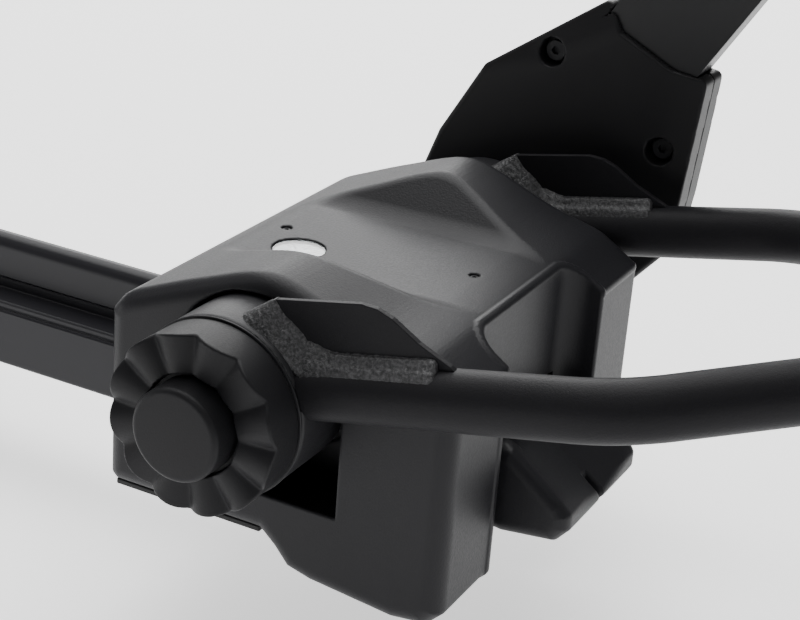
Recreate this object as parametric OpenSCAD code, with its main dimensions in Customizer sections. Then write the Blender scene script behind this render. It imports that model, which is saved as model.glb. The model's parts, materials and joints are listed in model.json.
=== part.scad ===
// Roof mounted bike carrier: rail, hub with hinged wheel hoop, hook arm, rear wheel strap, bar clamps.
// Millimetres. +X points to the hoop, +Y to the hook arm, +Z up.
// The origin is the middle of the front load bar seat, on the face that rests on the bar.

/* [Hub] */
// Height of the hoop axle above the load bar seat
axle_h = 100; // [96:1:112]
// Distance of the hoop axle in front of the load bar seat
axle_ahead = 325; // [310:1:340]
// Outer width of the hub cover
cover_w = 200; // [190:1:206]
// Wall thickness of the hub cover
cover_wall = 3.5; // [2.5:0.1:4.5]
// Width of the wheel notch between the two hub legs
notch_w = 100; // [90:1:110]
// Diameter of the window over the index dial
window_d = 24; // [18:1:28]

/* [Hoop] */
// Diameter of the hoop tube
tube_d = 25; // [20:1:28]
// Distance between the two tube axes at the hub
tube_spacing = 227; // [220:1:240]
// Angle of the hoop above the rail at rest
hoop_angle = 12; // [0:1:20]
// Distance from the axle to the first bend of the hoop
bend_x = 170; // [150:1:220]
// Angle by which each first bend turns inward
bend_angle = 31; // [25:1:36]
// Centre line radius of the two bends
bend_r = 70; // [50:1:80]
// Half the distance between the tube axes at the second bend
throat_y = 60; // [56:1:66]
// Centre line radius of the front of the hoop
nose_r = 46; // [42:1:50]
// Diameter of the two hoop bosses
boss_d = 78; // [74:1:82]
// Thickness of the gusset plates
gusset_t = 3; // [2:0.5:4]

/* [Shaft and knob] */
// Diameter of the hollow hoop shaft
shaft_d = 24; // [22:1:28]
// Diameter of the tie bolt that runs through the shaft
tie_d = 10; // [8:1:12]
// Diameter of the knob at its front ridges
knob_d = 80; // [74:1:82]
// Depth of the knob from its back edge to its front ridges
knob_depth = 22; // [18:1:28]
// How far the knob's cap stands out past its ridges
cap_out = 10; // [4:1:14]
// Diameter of the raised centre cap of the knob
cap_d = 40.6; // [36:0.2:44]
// Number of scooped flutes round the knob
flutes = 12; // [8:1:16]

/* [Hook arm] */
// Angle of the hook arm above the rail at rest
arm_angle = 58.7; // [50:0.1:70]
// Length of the arm profile from the axle to its end
arm_len = 560; // [500:5:640]
// Width of the arm profile
arm_w = 53; // [46:1:54]
// Thickness of the arm profile
arm_t = 20; // [16:1:22]
// Thickness of the clamshell block round the pivot
block_t = 28; // [26:1:34]
// Distance from the end of the arm back to the middle of the hook slider at rest
slider_back = 75; // [60:5:100]
// Length of the hook slider
slider_len = 90; // [70:1:100]

/* [Rail] */
// Length of the rail
rail_len = 1270; // [900:10:1400]
// Width of the lower part of the rail
rail_w = 44; // [40:1:48]
// Height of the rail
rail_h = 62; // [60:1:66]
// Wall thickness of the rail
rail_wall = 1.9; // [1.6:0.1:3]
// Distance of the rear wheel tray behind the front load bar seat
tray_at = 840; // [600:10:860]
// Distance between the two load bars
bar_gap = 700; // [500:10:760]

/* [Load bar clamps] */
// Width of the load bar that the clamps hold
bar_w = 80; // [60:1:84]
// Thickness of the load bar that the clamps hold
bar_t = 28; // [24:1:32]
// Length of a clamp across the car's bar direction
clamp_y = 98; // [90:1:120]
// Thickness of the clamp jaw
jaw_t = 4; // [3:0.5:6]

/* [Hidden] */
$fn = 64;

// Gaps: between moving pieces, of a turning fit, and between pieces seated in one body
run_gap = 0.4;
fit_gap = 0.05;
seat_gap = 0.3;

// Rail section, measured down from its top face
rail_top = -14;
rail_z = axle_h + rail_top - rail_h;
rail_front = axle_ahead - 25;
upper_half = 6.3;
neck_half = 5.4;
groove_top = 22;
ledge_depth = 28;
bead_depth = 33;
slot_mouth = 16;
slot_w = 28;
slot_h = 9;
slot_lip = 3;

// Hub cover, measured from the axle in the X-Z plane
cover_back = -75;
leg_front = 93;
notch_x = 76;
cover_half = cover_w / 2;
notch_half = notch_w / 2;
cover_bottom = -70;
cover_side = [[cover_back, cover_bottom + 4], [cover_back, 14], [-69, 22], [-53, 28.5], [-39, 34.3],
    [-25, 39.1], [-13, 44], [-2, 47.7], [8, 47.6], [21, 43.3], [38, 36.5], [51, 32], [70, 28],
    [notch_x, 25.5], [leg_front, 15], [leg_front, -82],
    [86, -89], [70, -91], [30, -87], [18, -84], [11, -76], [4, cover_bottom], [-71, cover_bottom]];
// The valley floor starts behind the window and rises a little towards the wheel notch
floor_start = -54;
floor_back = 28.3;
floor_slope = 0.6;
valley_half = 41;
valley_side = 40.8;
arch_r = boss_d / 2 + 1.5;
window_x = -28;
window_y = -19;
screw_at = [[-46, 0], [51, 0]];
screw_r = 2.2;

// Shaft stack along Y, outward from the frame cheeks
cheek_t = 5;
cheek_in = rail_w / 2 + seat_gap;
cheek_out = cheek_in + cheek_t;
ring_t = 6;
ring_r = 28;
sleeve_r = 19;
ring_y0 = cheek_out + 39;
tooth_h = 1.6;
teeth = 24;
ring_y1 = ring_y0 + 2 * tooth_h + run_gap;
boss_w = 38;
boss_out = tube_spacing / 2 + tube_d / 2;
boss_in = boss_out - boss_w;
neck_r = 18.5;
shaft_r = shaft_d / 2;
shaft_half = boss_out - 6;
tie_r = tie_d / 2;
bush_r = shaft_r + fit_gap;
bush_out_r = bush_r + 3;

bolt_x = [-54, -34];
bolt_r = 4;
bolt_z = rail_z - axle_h + 23;

// Index dial under the window
function floor_at(x) = floor_back + (x - floor_start) * tan(floor_slope);
dial_r = 20;
dial_t = 2;
dial_pin_r = 3;
axle_to_floor = floor_at(0) * cos(floor_slope);
drive_w = 8;
// The drive ring touches the dial's sector this far beside the dial's axis
drive_y = window_y + 30;
sector_r = norm([window_x, drive_y - window_y]) + 5;
sector_mid = atan2(drive_y - window_y, -window_x);

// Hoop path in the hoop's own plane, which lies this far above the axle
tube_rise = 5.7;
tube_r = tube_d / 2;
tube_wall = 2.5;
half_spacing = tube_spacing / 2;
throat_x = bend_x + (half_spacing - throat_y) / tan(bend_angle);
taper = 8;
second_bend = bend_angle - taper;
nose_touch_x = throat_x + (throat_y - nose_r * cos(taper)) / tan(taper);
nose_x = nose_touch_x - nose_r * sin(taper);
gusset_top = 43.4;
gusset_start = 27;
gusset_bend = 66;
gusset_end = 104;
weld_r = 4.2;
weld_end = 99;

// Knob stack outward from the near boss
washer_t = 0.9;
knob_back = -boss_out - run_gap - washer_t;
knob_front = knob_back - knob_depth;
knob_r = knob_d / 2;
cap_r = cap_d / 2;
base_len = 75;
base_t = 3;
cap_front = knob_front - cap_out;
socket_r = cap_r + 4;
nut_r = 10;
flute_r = 11;
flute_out = 30;
flute_tilt = 35;

// Hook arm stack beyond the far boss
block_y = boss_out + 9;
block_back = block_y + block_t;
seam_y = block_y + block_t / 2;
shell_wall = 3;
arm_bush_r = 14;
arm_y = seam_y - arm_t / 2;
arm_right = 31;
arm_left = arm_right - arm_w;
arm_wall = 2.5;
core_from = 62;
pivot_head_y = block_back + 1;
screw_hole_r = 7;
screw_holes = [[20.7, 95.8], [82.2, 58]];
block_side = [[-50, 0], [-46, -24], [-30, -40], [0, -48], [34, -42], [70, -20], [92, 6],
    [96, 34], [101.5, 97], [84, 99.5], [56, 113], [47.5, 127.5], [-15, 83], [-37.5, 43.5], [-44.5, 24]];
rack_pitch = 6;
rack_w = 7;
rack_t = 2;
rack_tooth = 2.4;
rack_from = 200;

// Slider and hook, in the arm's own frame
house_x = arm_left - 18;
pocket_x = arm_left - rack_t - rack_tooth - run_gap;
slider_at = arm_len - slider_back;
pawl_z = slider_at + 4;
pawl_pin_r = 1.5;
lock_r = 6;
lock_y = arm_y - 10;
hook_half = 30;
slider_wall = 4;
slider_gap = 0.35;
hook_bar = 22;
hook_bar_t = 14;

// Clamps under the rail
jaw_drop = 10;
jaw_half = bar_w / 2 + 1.5;
jaw_w = 24;
saddle_x = jaw_half + jaw_t + 7;
pad_t = 2;
saddle_top = rail_z - seat_gap;
clamp_knob_r = 15;
clamp_knob_t = 14;
knob_screw_z = 8;

// Rear tray and strap
tray_len = 150;
tray_w = 92;
tray_t = 4;
tray_z = axle_h + rail_top;
strap_w = 24;
strap_t = 2.6;
strap_r = 41;
strap_leg = 34;
strap_foot = 20;
buckle_z = tray_z + 26;

// A rod along Y from y0 to y1
module rod_y(y0, y1, r) translate([0, y1, 0]) rotate([90, 0, 0]) cylinder(h = y1 - y0, r = r);
// A tapered rod along Y, r0 at y0 and r1 at y1
module cone_y(y0, y1, r0, r1) translate([0, y1, 0]) rotate([90, 0, 0]) cylinder(h = y1 - y0, r1 = r1, r2 = r0);
// A ring along Y
module ring_y(y0, y1, ro, ri) difference() {
    rod_y(y0, y1, ro);
    rod_y(y0 - 1, y1 + 1, ri);
}
// A flat outline in X and Z, extruded along Y
module slab_y(y0, y1) translate([0, y1, 0]) rotate([90, 0, 0]) linear_extrude(y1 - y0) children();
// A flat outline in Y and Z, extruded along X
module slab_x(x0, x1) translate([x0, 0, 0]) rotate([90, 0, 90]) linear_extrude(x1 - x0) children();
module box(lo, hi) translate(lo) cube(hi - lo);
module both_sides() {
    children();
    mirror([0, 1, 0]) children();
}
module at_axle() translate([axle_ahead, 0, axle_h]) children();
module at_hoop() at_axle() rotate([0, -hoop_angle, 0]) children();
module at_arm() at_axle() rotate([0, 90 - arm_angle, 0]) children();

module rail_outline() {
    hw = rail_w / 2;
    half = [[hw - 1.5, 0], [hw, 1.5], [hw, rail_h - bead_depth], [hw - 0.7, rail_h - bead_depth + 1.4],
        [hw - 1.6, rail_h - bead_depth + 1.8], [hw - 1.6, rail_h - ledge_depth - 0.6],
        [hw - 2.2, rail_h - ledge_depth], [neck_half, rail_h - ledge_depth],
        [neck_half, rail_h - groove_top], [upper_half, rail_h - groove_top],
        [upper_half, rail_h - upper_half]];
    n = len(half);
    polygon(concat(half, [for (i = [n - 1:-1:0]) [-half[i][0], half[i][1]]]));
    translate([0, rail_h - upper_half]) circle(r = upper_half);
}
module rail_void() {
    hw = rail_w / 2 - rail_wall;
    low = slot_lip + slot_h + rail_wall;
    half = [[hw, low], [hw, rail_h - bead_depth - 1], [hw - 2, rail_h - ledge_depth - rail_wall]];
    polygon(concat(half, [for (i = [2:-1:0]) [-half[i][0], half[i][1]]]));
    bore = upper_half - rail_wall;
    translate([0, rail_h - upper_half]) circle(r = bore);
    translate([-bore, rail_h - groove_top + rail_wall]) square([2 * bore, groove_top - rail_wall - upper_half]);
}
module rail_slot() {
    translate([-slot_mouth / 2, -1]) square([slot_mouth, slot_lip + 2]);
    translate([-slot_w / 2, slot_lip]) square([slot_w, slot_h]);
}
module rail() color([0.11, 0.11, 0.12]) difference() {
    translate([0, 0, rail_z]) slab_x(rail_front - rail_len, rail_front) difference() {
        rail_outline();
        rail_void();
        rail_slot();
        for (y = [slot_w / 2 + rail_wall, rail_wall - rail_w / 2]) translate([y, rail_wall])
            square([rail_w / 2 - slot_w / 2 - 2 * rail_wall, slot_lip + slot_h - rail_wall]);
    }
    at_axle() for (x = bolt_x) translate([x, 0, bolt_z]) rod_y(-rail_w, rail_w, bolt_r + 0.2);
}

module rail_end_cap() color([0.07, 0.07, 0.07]) {
    end = rail_front - rail_len;
    low = slot_lip + slot_h + rail_wall;
    translate([0, 0, rail_z]) {
        slab_x(end - 4, end) rail_outline();
        box([end - 1, -rail_w / 2 + rail_wall + 2.5, low + seat_gap],
            [end + 14, rail_w / 2 - rail_wall - 2.5, rail_h - ledge_depth - rail_wall - seat_gap]);
    }
}

// Steel frame bolted to the rail: two cheeks that carry the shaft, a front web and a floor
module hub_frame() color([0.2, 0.2, 0.21]) at_axle() {
    low = cover_bottom + cover_wall + seat_gap;
    cheek = [[-66, low], [50, low], [50, 18], [20, 20], [-14, 20], [-20, 6], [-66, 6]];
    difference() {
        union() {
            both_sides() slab_y(cheek_in, cheek_out) polygon(cheek);
            box([46, -cheek_out, low], [50, cheek_out, 14]);
            box([-19, -cheek_out, low], [50, cheek_out, low + 4]);
        }
        rod_y(-cheek_out - 1, cheek_out + 1, bush_out_r);
        for (x = bolt_x) translate([x, 0, bolt_z]) rod_y(-cheek_out - 1, cheek_out + 1, bolt_r + 0.2);
    }
}

module frame_bolts() color([0.55, 0.55, 0.57]) at_axle() for (x = bolt_x)
    translate([x, 0, bolt_z]) both_sides() {
        rod_y(rail_w / 2 - rail_wall, cheek_out, bolt_r);
        translate([0, cheek_out + 6, 0]) rotate([90, 0, 0]) cylinder(h = 6, r = 7.5, $fn = 6);
    }

// Cutting body of the straight valley between the two ridges, moved outward by grow on all its faces
module valley(grow) {
    corner = valley_half + grow * (1 / cos(valley_side) - 1) / tan(valley_side);
    crest = corner + 60 / tan(valley_side);
    translate([0, 0, floor_at(0)]) rotate([0, -floor_slope, 0]) slab_x(cover_back - 15, notch_x + 15)
        polygon([[-corner, -grow], [corner, -grow], [crest, 60 - grow], [-crest, 60 - grow]]);
}
module notch_cut(grow) {
    r = 12 + grow;
    x = notch_x - grow;
    both_sides() translate([x + r, notch_half + grow - r, -120]) cylinder(h = 200, r = r);
    box([x, -notch_half - grow + r, -120], [leg_front + 5, notch_half + grow - r, 80]);
    box([x + r, -notch_half - grow, -120], [leg_front + 5, notch_half + grow, 80]);
}
module pocket_cut() {
    both_sides() box([4, 66, -50], [42, cover_half + 1, -4]);
}
module cover_hollow() {
    w = cover_wall;
    difference() {
        slab_y(-cover_half + w, cover_half - w) {
            offset(delta = -w) polygon(cover_side);
            translate([cover_back + w, cover_bottom - 1]) square([76, 12]);
        }
        valley(w);
        notch_cut(w);
        box([5, -notch_half - w, -100], [leg_front + 1, notch_half + w, cover_bottom + w]);
        both_sides() box([4 - w, 66 - w, -50 - w], [42 + w, cover_half, -4 + w]);
    }
}
module hub_cover() color([0.16, 0.16, 0.17]) at_axle() difference() {
    slab_y(-cover_half, cover_half) polygon(cover_side);
    valley(0);
    notch_cut(0);
    pocket_cut();
    box([4, -notch_half, -100], [leg_front + 1, notch_half, cover_bottom]);
    cover_hollow();
    both_sides() rod_y(60, cover_half + 1, arch_r);
    box([cover_back - 1, -rail_w / 2 - seat_gap, -80], [cover_back + 10, rail_w / 2 + seat_gap, rail_top + seat_gap]);
    window_frame() cylinder(h = 20, r = window_d / 2, center = true);
    for (p = screw_at) floor_frame(p[0], p[1]) cylinder(h = 20, r = screw_r, center = true);
    box([notch_x - 10, -42, cover_bottom - 1], [notch_x + 1, 42, -27]);
}
// Frame on the valley floor, its Z along the floor's normal
module floor_frame(x, y) translate([x, y, floor_at(x)]) rotate([0, -floor_slope, 0]) children();
module window_frame() floor_frame(window_x, window_y) children();

module window_lens() color([0.8, 0.85, 0.88, 0.35]) at_axle() window_frame()
    translate([0, 0, -cover_wall + 0.6]) cylinder(h = 2, r = window_d / 2 - 0.05);

module index_dial() color([0.93, 0.93, 0.92]) at_axle() window_frame() {
    translate([0, 0, -cover_wall - run_gap - dial_t]) {
        cylinder(h = dial_t, r = dial_r);
        linear_extrude(dial_t) polygon(concat([[0, 0]],
            [for (a = [-31:8:17]) sector_r * [cos(sector_mid + a), sin(sector_mid + a)]]));
    }
    translate([0, 0, -cover_wall - run_gap - dial_t - 10]) cylinder(h = 10.5, r = dial_pin_r);
}
module dial_bracket() color([0.1, 0.1, 0.1]) at_axle() difference() {
    union() {
        window_frame() translate([0, 0, -cover_wall - run_gap - dial_t - 11]) cylinder(h = 10, r = 6);
        box([window_x - 6, -cheek_out, 6 + seat_gap], [window_x + 4.5, cheek_out, 12]);
    }
    window_frame() translate([0, 0, -40]) cylinder(h = 60, r = dial_pin_r + fit_gap);
}

module hub_base() color([0.12, 0.12, 0.12]) at_axle() {
    w = cover_wall + seat_gap;
    difference() {
        box([cover_back + w, -cover_half + w, cover_bottom - base_t / 2],
            [cover_back + w + base_len, cover_half - w, cover_bottom + base_t / 2]);
        box([cover_back, -rail_w / 2 - seat_gap, cover_bottom - 3],
            [rail_front - axle_ahead + seat_gap, rail_w / 2 + seat_gap, cover_bottom + 3]);
    }
}

// The sloped lip between the hub legs that the tyre rests on
module wheel_cradle() color([0.15, 0.15, 0.16]) at_axle() {
    side = [[50, -66], [50, -52], [70, -30], [80, -27], [94, -27], [119, -46], [123, -52], [123, -59],
        [117, -66], [92, -69], [66, -66]];
    difference() {
        slab_y(-41.7, 41.7) polygon(side);
        for (m = [0, 1]) mirror([0, m, 0]) hull() {
            slab_y(0, 0.1) polygon([[83.7, -28.1], [119.7, -55.5], [135, -30], [100, -10]]);
            slab_y(42, 42.1) polygon([[88, -22.4], [124, -49.8], [135, -30], [100, -10]]);
        }
        box([108, -3, -70], [125, 3, -40]);
        translate([87, 0, -8]) rod_y(-34, 34, 24);
        box([55, -28, -62], [76, 28, -20]);
    }
}

module cover_screws() color([0.5, 0.5, 0.52]) at_axle() for (p = screw_at) floor_frame(p[0], p[1]) difference() {
    translate([0, 0, -9]) cylinder(h = 8, r = screw_r - 0.2);
    translate([0, 0, -2.4]) cylinder(h = 2, r = 1.1, $fn = 6);
}

// Shaft, detent rings and bushes
module shaft_bushes() color([0.85, 0.85, 0.8]) at_axle() both_sides() {
    ring_y(cheek_in, cheek_out, bush_out_r, bush_r);
    ring_y(cheek_out, cheek_out + 1.2, bush_out_r + 3, bush_r);
}
module ring_teeth(y) for (a = [0:360 / teeth:359]) rotate([0, a, 0])
    box([bush_out_r + 6, y - 1, -0.9], [ring_r - 1, y + tooth_h, 0.9]);

module detent_ring_fixed() color([0.45, 0.45, 0.47]) at_axle() difference() {
    union() {
        rod_y(-ring_y0, -cheek_out, sleeve_r);
        rod_y(-ring_y0, -ring_y0 + ring_t, ring_r);
        mirror([0, 1, 0]) ring_teeth(ring_y0);
    }
    rod_y(-ring_y0 - 3, -cheek_out, bush_r + seat_gap);
    rod_y(-cheek_out - 1.3, -cheek_out + 1, bush_out_r + 3.1);
}
module detent_ring_moving() color([0.45, 0.45, 0.47]) at_axle() difference() {
    union() {
        rod_y(-boss_in, -ring_y1, ring_r);
        ring_teeth(-ring_y1);
    }
    rod_y(-boss_in - 1, -ring_y1 + 3, shaft_r);
}
module hoop_shaft() color([0.5, 0.5, 0.52]) at_axle() ring_y(-shaft_half, shaft_half, shaft_r, tie_r + seat_gap);

// Ring on the shaft that turns the index dial by its underside
module index_drive_ring() color([0.9, 0.9, 0.88]) at_axle()
    ring_y(drive_y - drive_w / 2, drive_y + drive_w / 2,
        axle_to_floor - cover_wall - dial_t - 2 * run_gap, shaft_r);

module boss(far) {
    difference() {
        union() {
            rod_y(-boss_out + 1.5, -boss_in, boss_d / 2);
            cone_y(-boss_out, -boss_out + 1.5, boss_d / 2 - 1.5, boss_d / 2);
            if (far) rod_y(-boss_in, -cheek_out - 2, neck_r);
        }
        rod_y(-shaft_half, 0, shaft_r);
        rod_y(-boss_out - 1, 0, tie_r + seat_gap);
        difference() {
            rod_y(-boss_out + 8, -boss_in + 1, boss_d / 2 - 5);
            rod_y(-boss_out + 7, 0, shaft_r + 8);
        }
    }
}
module boss_near() color([0.1, 0.1, 0.1]) at_axle() boss(false);
module boss_far() color([0.1, 0.1, 0.1]) at_axle() mirror([0, 1, 0]) boss(true);

// A bent stretch, for the pad round the front of the hoop
module tube_arc(radius, a, r) translate([nose_x, 0, tube_rise])
    rotate([0, 0, -a]) rotate_extrude(angle = 2 * a) translate([radius, 0]) circle(r = r);

// Points of the hoop's centre line as [x, y, heading], from the far boss round to the near one
function at_angle(p, d, a) = p + d * [cos(a), sin(a)];
function arc_path(centre, radius, h0, h1, n, side) = [for (i = [0:n]) let (h = h0 + (h1 - h0) * i / n,
    p = centre + side * radius * [sin(h), -cos(h)]) [p[0], p[1], h]];
cut1 = bend_r * tan(bend_angle / 2);
cut2 = bend_r * tan(second_bend / 2);
bend1_centre = [bend_x - cut1, half_spacing - bend_r];
bend2_centre = at_angle([throat_x, throat_y], -cut2, -bend_angle) + bend_r * [sin(bend_angle), cos(bend_angle)];
half_path = concat([[boss_d / 4, half_spacing, 0]], arc_path(bend1_centre, bend_r, 0, -bend_angle, 5, -1),
    arc_path(bend2_centre, bend_r, -bend_angle, -taper, 4, 1));
hoop_path = concat(half_path, arc_path([nose_x, 0], nose_r, -taper, taper - 180, 16, -1),
    [for (i = [len(half_path) - 1:-1:0]) let (p = half_path[i]) [p[0], -p[1], -180 - p[2]]]);
module swept_tube(path, r, sides) {
    last = len(path) - 1;
    points = [for (p = path, k = [0:sides - 1]) let (a = 360 * k / sides)
        [p[0] - r * cos(a) * sin(p[2]), p[1] + r * cos(a) * cos(p[2]), tube_rise + r * sin(a)]];
    walls = [for (i = [0:last - 1], k = [0:sides - 1]) let (n = (k + 1) % sides)
        [i * sides + k, (i + 1) * sides + k, (i + 1) * sides + n, i * sides + n]];
    ends = [[for (k = [0:sides - 1]) k], [for (k = [sides - 1:-1:0]) last * sides + k]];
    polyhedron(points, concat(walls, ends));
}
module hoop_tube() color([0.1, 0.1, 0.1]) difference() {
    at_hoop() swept_tube(hoop_path, tube_r, 24);
    at_hoop() swept_tube(hoop_path, tube_r - tube_wall, 16);
    at_axle() rod_y(-boss_out - 1, boss_out + 1, boss_d / 2);
}
module gusset() {
    top = tube_rise + tube_r;
    difference() {
        slab_y(-half_spacing - gusset_t / 2, -half_spacing + gusset_t / 2)
            polygon([[gusset_start - 9, 33], [30, top - 0.5], [gusset_end, top - 0.5],
                [gusset_end - 2, top + 1.6], [gusset_bend + 23.4, gusset_top - 14.9],
                [gusset_bend + 13, gusset_top - 5.4], [gusset_bend + 7, gusset_top - 1.8],
                [gusset_bend, gusset_top], [gusset_start, gusset_top]]);
        rod_y(-boss_out - 1, 0, boss_d / 2);
        translate([0, -half_spacing, tube_rise]) rotate([0, 90, 0]) cylinder(h = 200, r = tube_r);
    }
}
module gusset_near() color([0.1, 0.1, 0.1]) at_hoop() gusset();
module gusset_far() color([0.1, 0.1, 0.1]) at_hoop() translate([0, 2 * half_spacing, 0]) gusset();

// Bead round the boss and along the tube, on the near face of each gusset
module weld() {
    y = -half_spacing - gusset_t / 2 - 1.5;
    rb = boss_d / 2 + 1.2;
    z = tube_rise + tube_r + 1;
    foot = asin(z / rb);
    difference() {
        union() {
            rotate([90, 0, 0]) translate([0, 0, -y]) rotate([0, 0, foot])
                rotate_extrude(angle = 40) translate([rb, 0]) circle(r = weld_r, $fn = 24);
            translate([rb * cos(foot), y, z]) rotate([0, 90, 0]) cylinder(h = weld_end - rb * cos(foot), r = weld_r, $fn = 24);
            translate([weld_end, y, z]) sphere(r = weld_r, $fn = 24);
            translate([rb * cos(foot), y, z]) sphere(r = weld_r, $fn = 24);
        }
        rod_y(-boss_out - 10, 0, boss_d / 2);
        translate([0, -half_spacing, tube_rise]) rotate([0, 90, 0]) cylinder(h = 200, r = tube_r);
        slab_y(-half_spacing - gusset_t / 2, 0) square([200, 100]);
    }
}
module weld_near() color([0.25, 0.25, 0.26]) at_hoop() weld();
module weld_far() color([0.25, 0.25, 0.26]) at_hoop() translate([0, 2 * half_spacing, 0]) weld();

// Rubber sleeve with a low tyre stop round the front of the hoop
module hoop_pad() color([0.05, 0.05, 0.05]) at_hoop() difference() {
    union() {
        tube_arc(nose_r, 62, tube_r + 5);
        translate([nose_x + nose_r, 0, tube_rise]) slab_y(-26, 26)
            polygon([[-12, -15], [16, -15], [18, 10], [8, 30], [-4, 30], [-14, 14]]);
    }
    tube_arc(nose_r, 70, tube_r + 0.1);
}

module tie_bolt() color([0.6, 0.6, 0.62]) at_axle() {
    rod_y(knob_front + 8, pivot_head_y + 2, tie_r);
    rod_y(pivot_head_y, pivot_head_y + 2, 16);
    translate([0, pivot_head_y + 9, 0]) rotate([90, 0, 0]) cylinder(h = 7, r = 9.2, $fn = 6);
}
module arm_spacer() color([0.6, 0.6, 0.62]) at_axle()
    ring_y(boss_out + run_gap, block_y - run_gap, 19, tie_r);

// Knob
module knob_body() color([0.08, 0.08, 0.08]) at_axle() difference() {
    union() {
        cone_y(knob_front + 3, knob_back, knob_r, knob_r - 2);
        cone_y(knob_front, knob_front + 3, knob_r - 4, knob_r);
    }
    for (i = [0:flutes - 1]) rotate([0, (i + 0.5) * 360 / flutes, 0])
        translate([flute_out, knob_front - 5, 0]) rotate([0, 0, flute_tilt]) rotate([0, 90, 0])
            cylinder(h = 50, r = flute_r, center = true);
    rod_y(knob_front - 1, knob_front + 4, socket_r);
    rod_y(knob_front - 1, knob_back + 1, nut_r);
    ring_y(knob_back - 4, knob_back + 1, knob_r - 5, nut_r + 5);
}
module knob_cap() color([0.09, 0.09, 0.09]) at_axle() {
    cone_y(cap_front, cap_front + 1.5, cap_r - 1.5, cap_r);
    rod_y(cap_front + 1.5, knob_front + 4, cap_r);
}
module knob_nut() color([0.7, 0.6, 0.3]) at_axle() ring_y(knob_front + 7, knob_back, nut_r, tie_r + fit_gap);
module knob_washer() color([0.7, 0.7, 0.72]) at_axle()
    ring_y(knob_back, knob_back + washer_t, boss_d / 2 + 0.3, tie_r + run_gap);

// Hook arm, block in the axle's X-Z plane at rest, profile in the arm's own frame
module block_outline(w) offset(delta = -w) polygon(block_side);
module arm_core(gap) at_arm() box([arm_left - gap, arm_y - gap, core_from],
    [arm_right + gap, arm_y + arm_t + gap, arm_len]);
module arm_shell(y0, y1, floor0, floor1) difference() {
    at_axle() slab_y(y0, y1) block_outline(0);
    at_axle() slab_y(floor0, floor1) difference() {
        block_outline(shell_wall);
        circle(r = arm_bush_r + 4);
        for (p = screw_holes) translate(p) circle(r = screw_hole_r + 3);
    }
    arm_core(seat_gap);
    at_axle() rod_y(y0 - 1, y1 + 1, arm_bush_r);
}
module arm_shell_front() color([0.1, 0.1, 0.1]) difference() {
    arm_shell(block_y, seam_y, block_y + shell_wall, seam_y + 1);
    at_axle() for (p = screw_holes) translate([p[0], 0, p[1]]) {
        rod_y(block_y - 1, seam_y - 4, screw_hole_r);
        rod_y(block_y - 1, seam_y + 1, 2.6);
    }
}
module arm_shell_back() color([0.1, 0.1, 0.1]) difference() {
    arm_shell(seam_y, block_back, seam_y - 1, block_back - shell_wall);
    at_axle() for (p = screw_holes) translate([p[0], 0, p[1]]) rod_y(seam_y - 1, seam_y + 9, 2.2);
}
module arm_screws() color([0.4, 0.4, 0.42]) at_axle() for (p = screw_holes) translate([p[0], 0, p[1]]) difference() {
    union() {
        rod_y(seam_y - 8, seam_y - 4, 5);
        rod_y(seam_y - 4, seam_y + 8, 2.1);
    }
    translate([0, seam_y - 5.5, 0]) rotate([90, 0, 0]) cylinder(h = 4, r = 2.3, $fn = 6);
}
module arm_bush() color([0.75, 0.75, 0.7]) at_axle() ring_y(block_y, block_back, arm_bush_r, tie_r + fit_gap);

module arm_profile() color([0.14, 0.14, 0.15]) difference() {
    arm_core(0);
    at_arm() box([arm_left + arm_wall, arm_y + arm_wall, core_from - 2],
        [arm_right - arm_wall, arm_y + arm_t - arm_wall, arm_len + 1]);
}
// Toothed rack of the hook ratchet, on the face away from the wheel
module arm_rack() color([0.5, 0.5, 0.52]) at_arm() {
    y0 = seam_y - rack_w / 2;
    box([arm_left - rack_t, y0, rack_from], [arm_left, y0 + rack_w, arm_len - 8]);
    for (z = [rack_from + 2:rack_pitch:arm_len - 16]) translate([arm_left - rack_t, y0 + rack_w, z])
        rotate([90, 0, 0]) linear_extrude(rack_w) polygon([[0, 0], [-rack_tooth, 1], [0, rack_pitch - 0.6]]);
}
module arm_end_cap() color([0.06, 0.06, 0.06]) at_arm() {
    box([arm_left, arm_y, arm_len], [arm_right, arm_y + arm_t, arm_len + 4]);
    box([arm_left + arm_wall + seat_gap, arm_y + arm_wall + seat_gap, arm_len - 12],
        [arm_right - arm_wall - seat_gap, arm_y + arm_t - arm_wall - seat_gap, arm_len + 1]);
}

// Hook slider: sleeve on the profile with a ratchet housing on its outer side
module hook_slider() color([0.09, 0.09, 0.09]) at_arm() {
    w = slider_wall + slider_gap;
    z0 = slider_at - slider_len / 2;
    z1 = slider_at + slider_len / 2;
    difference() {
        union() {
            box([arm_left - w, arm_y - w, z0], [arm_right + w, arm_y + arm_t + w, z1]);
            box([house_x, seam_y - 12, z0 + 6], [arm_left, seam_y + 12, z1 - 4]);
            translate([4, 0, slider_at - 22]) rod_y(lock_y, arm_y, lock_r + 4);
        }
        box([arm_left - slider_gap, arm_y - slider_gap, z0 - 1], [arm_right + slider_gap, arm_y + arm_t + slider_gap, z1 + 1]);
        box([arm_left - rack_t - rack_tooth - run_gap, seam_y - rack_w / 2 - run_gap, z0 - 1],
            [arm_left, seam_y + rack_w / 2 + run_gap, z1 + 1]);
        box([house_x - 1, seam_y - 8, slider_at + 12], [pocket_x, seam_y + 8, slider_at + 36]);
        box([pocket_x - 8, seam_y - 5, slider_at - 30], [pocket_x + 1, seam_y + 5, slider_at + 10]);
        translate([4, 0, slider_at - 22]) rod_y(lock_y - 1, arm_y - slider_gap - 1, lock_r + fit_gap);
        translate([pocket_x - 3.4, seam_y, pawl_z]) rod_y(-8.3, 8.3, pawl_pin_r + fit_gap);
    }
}
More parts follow.
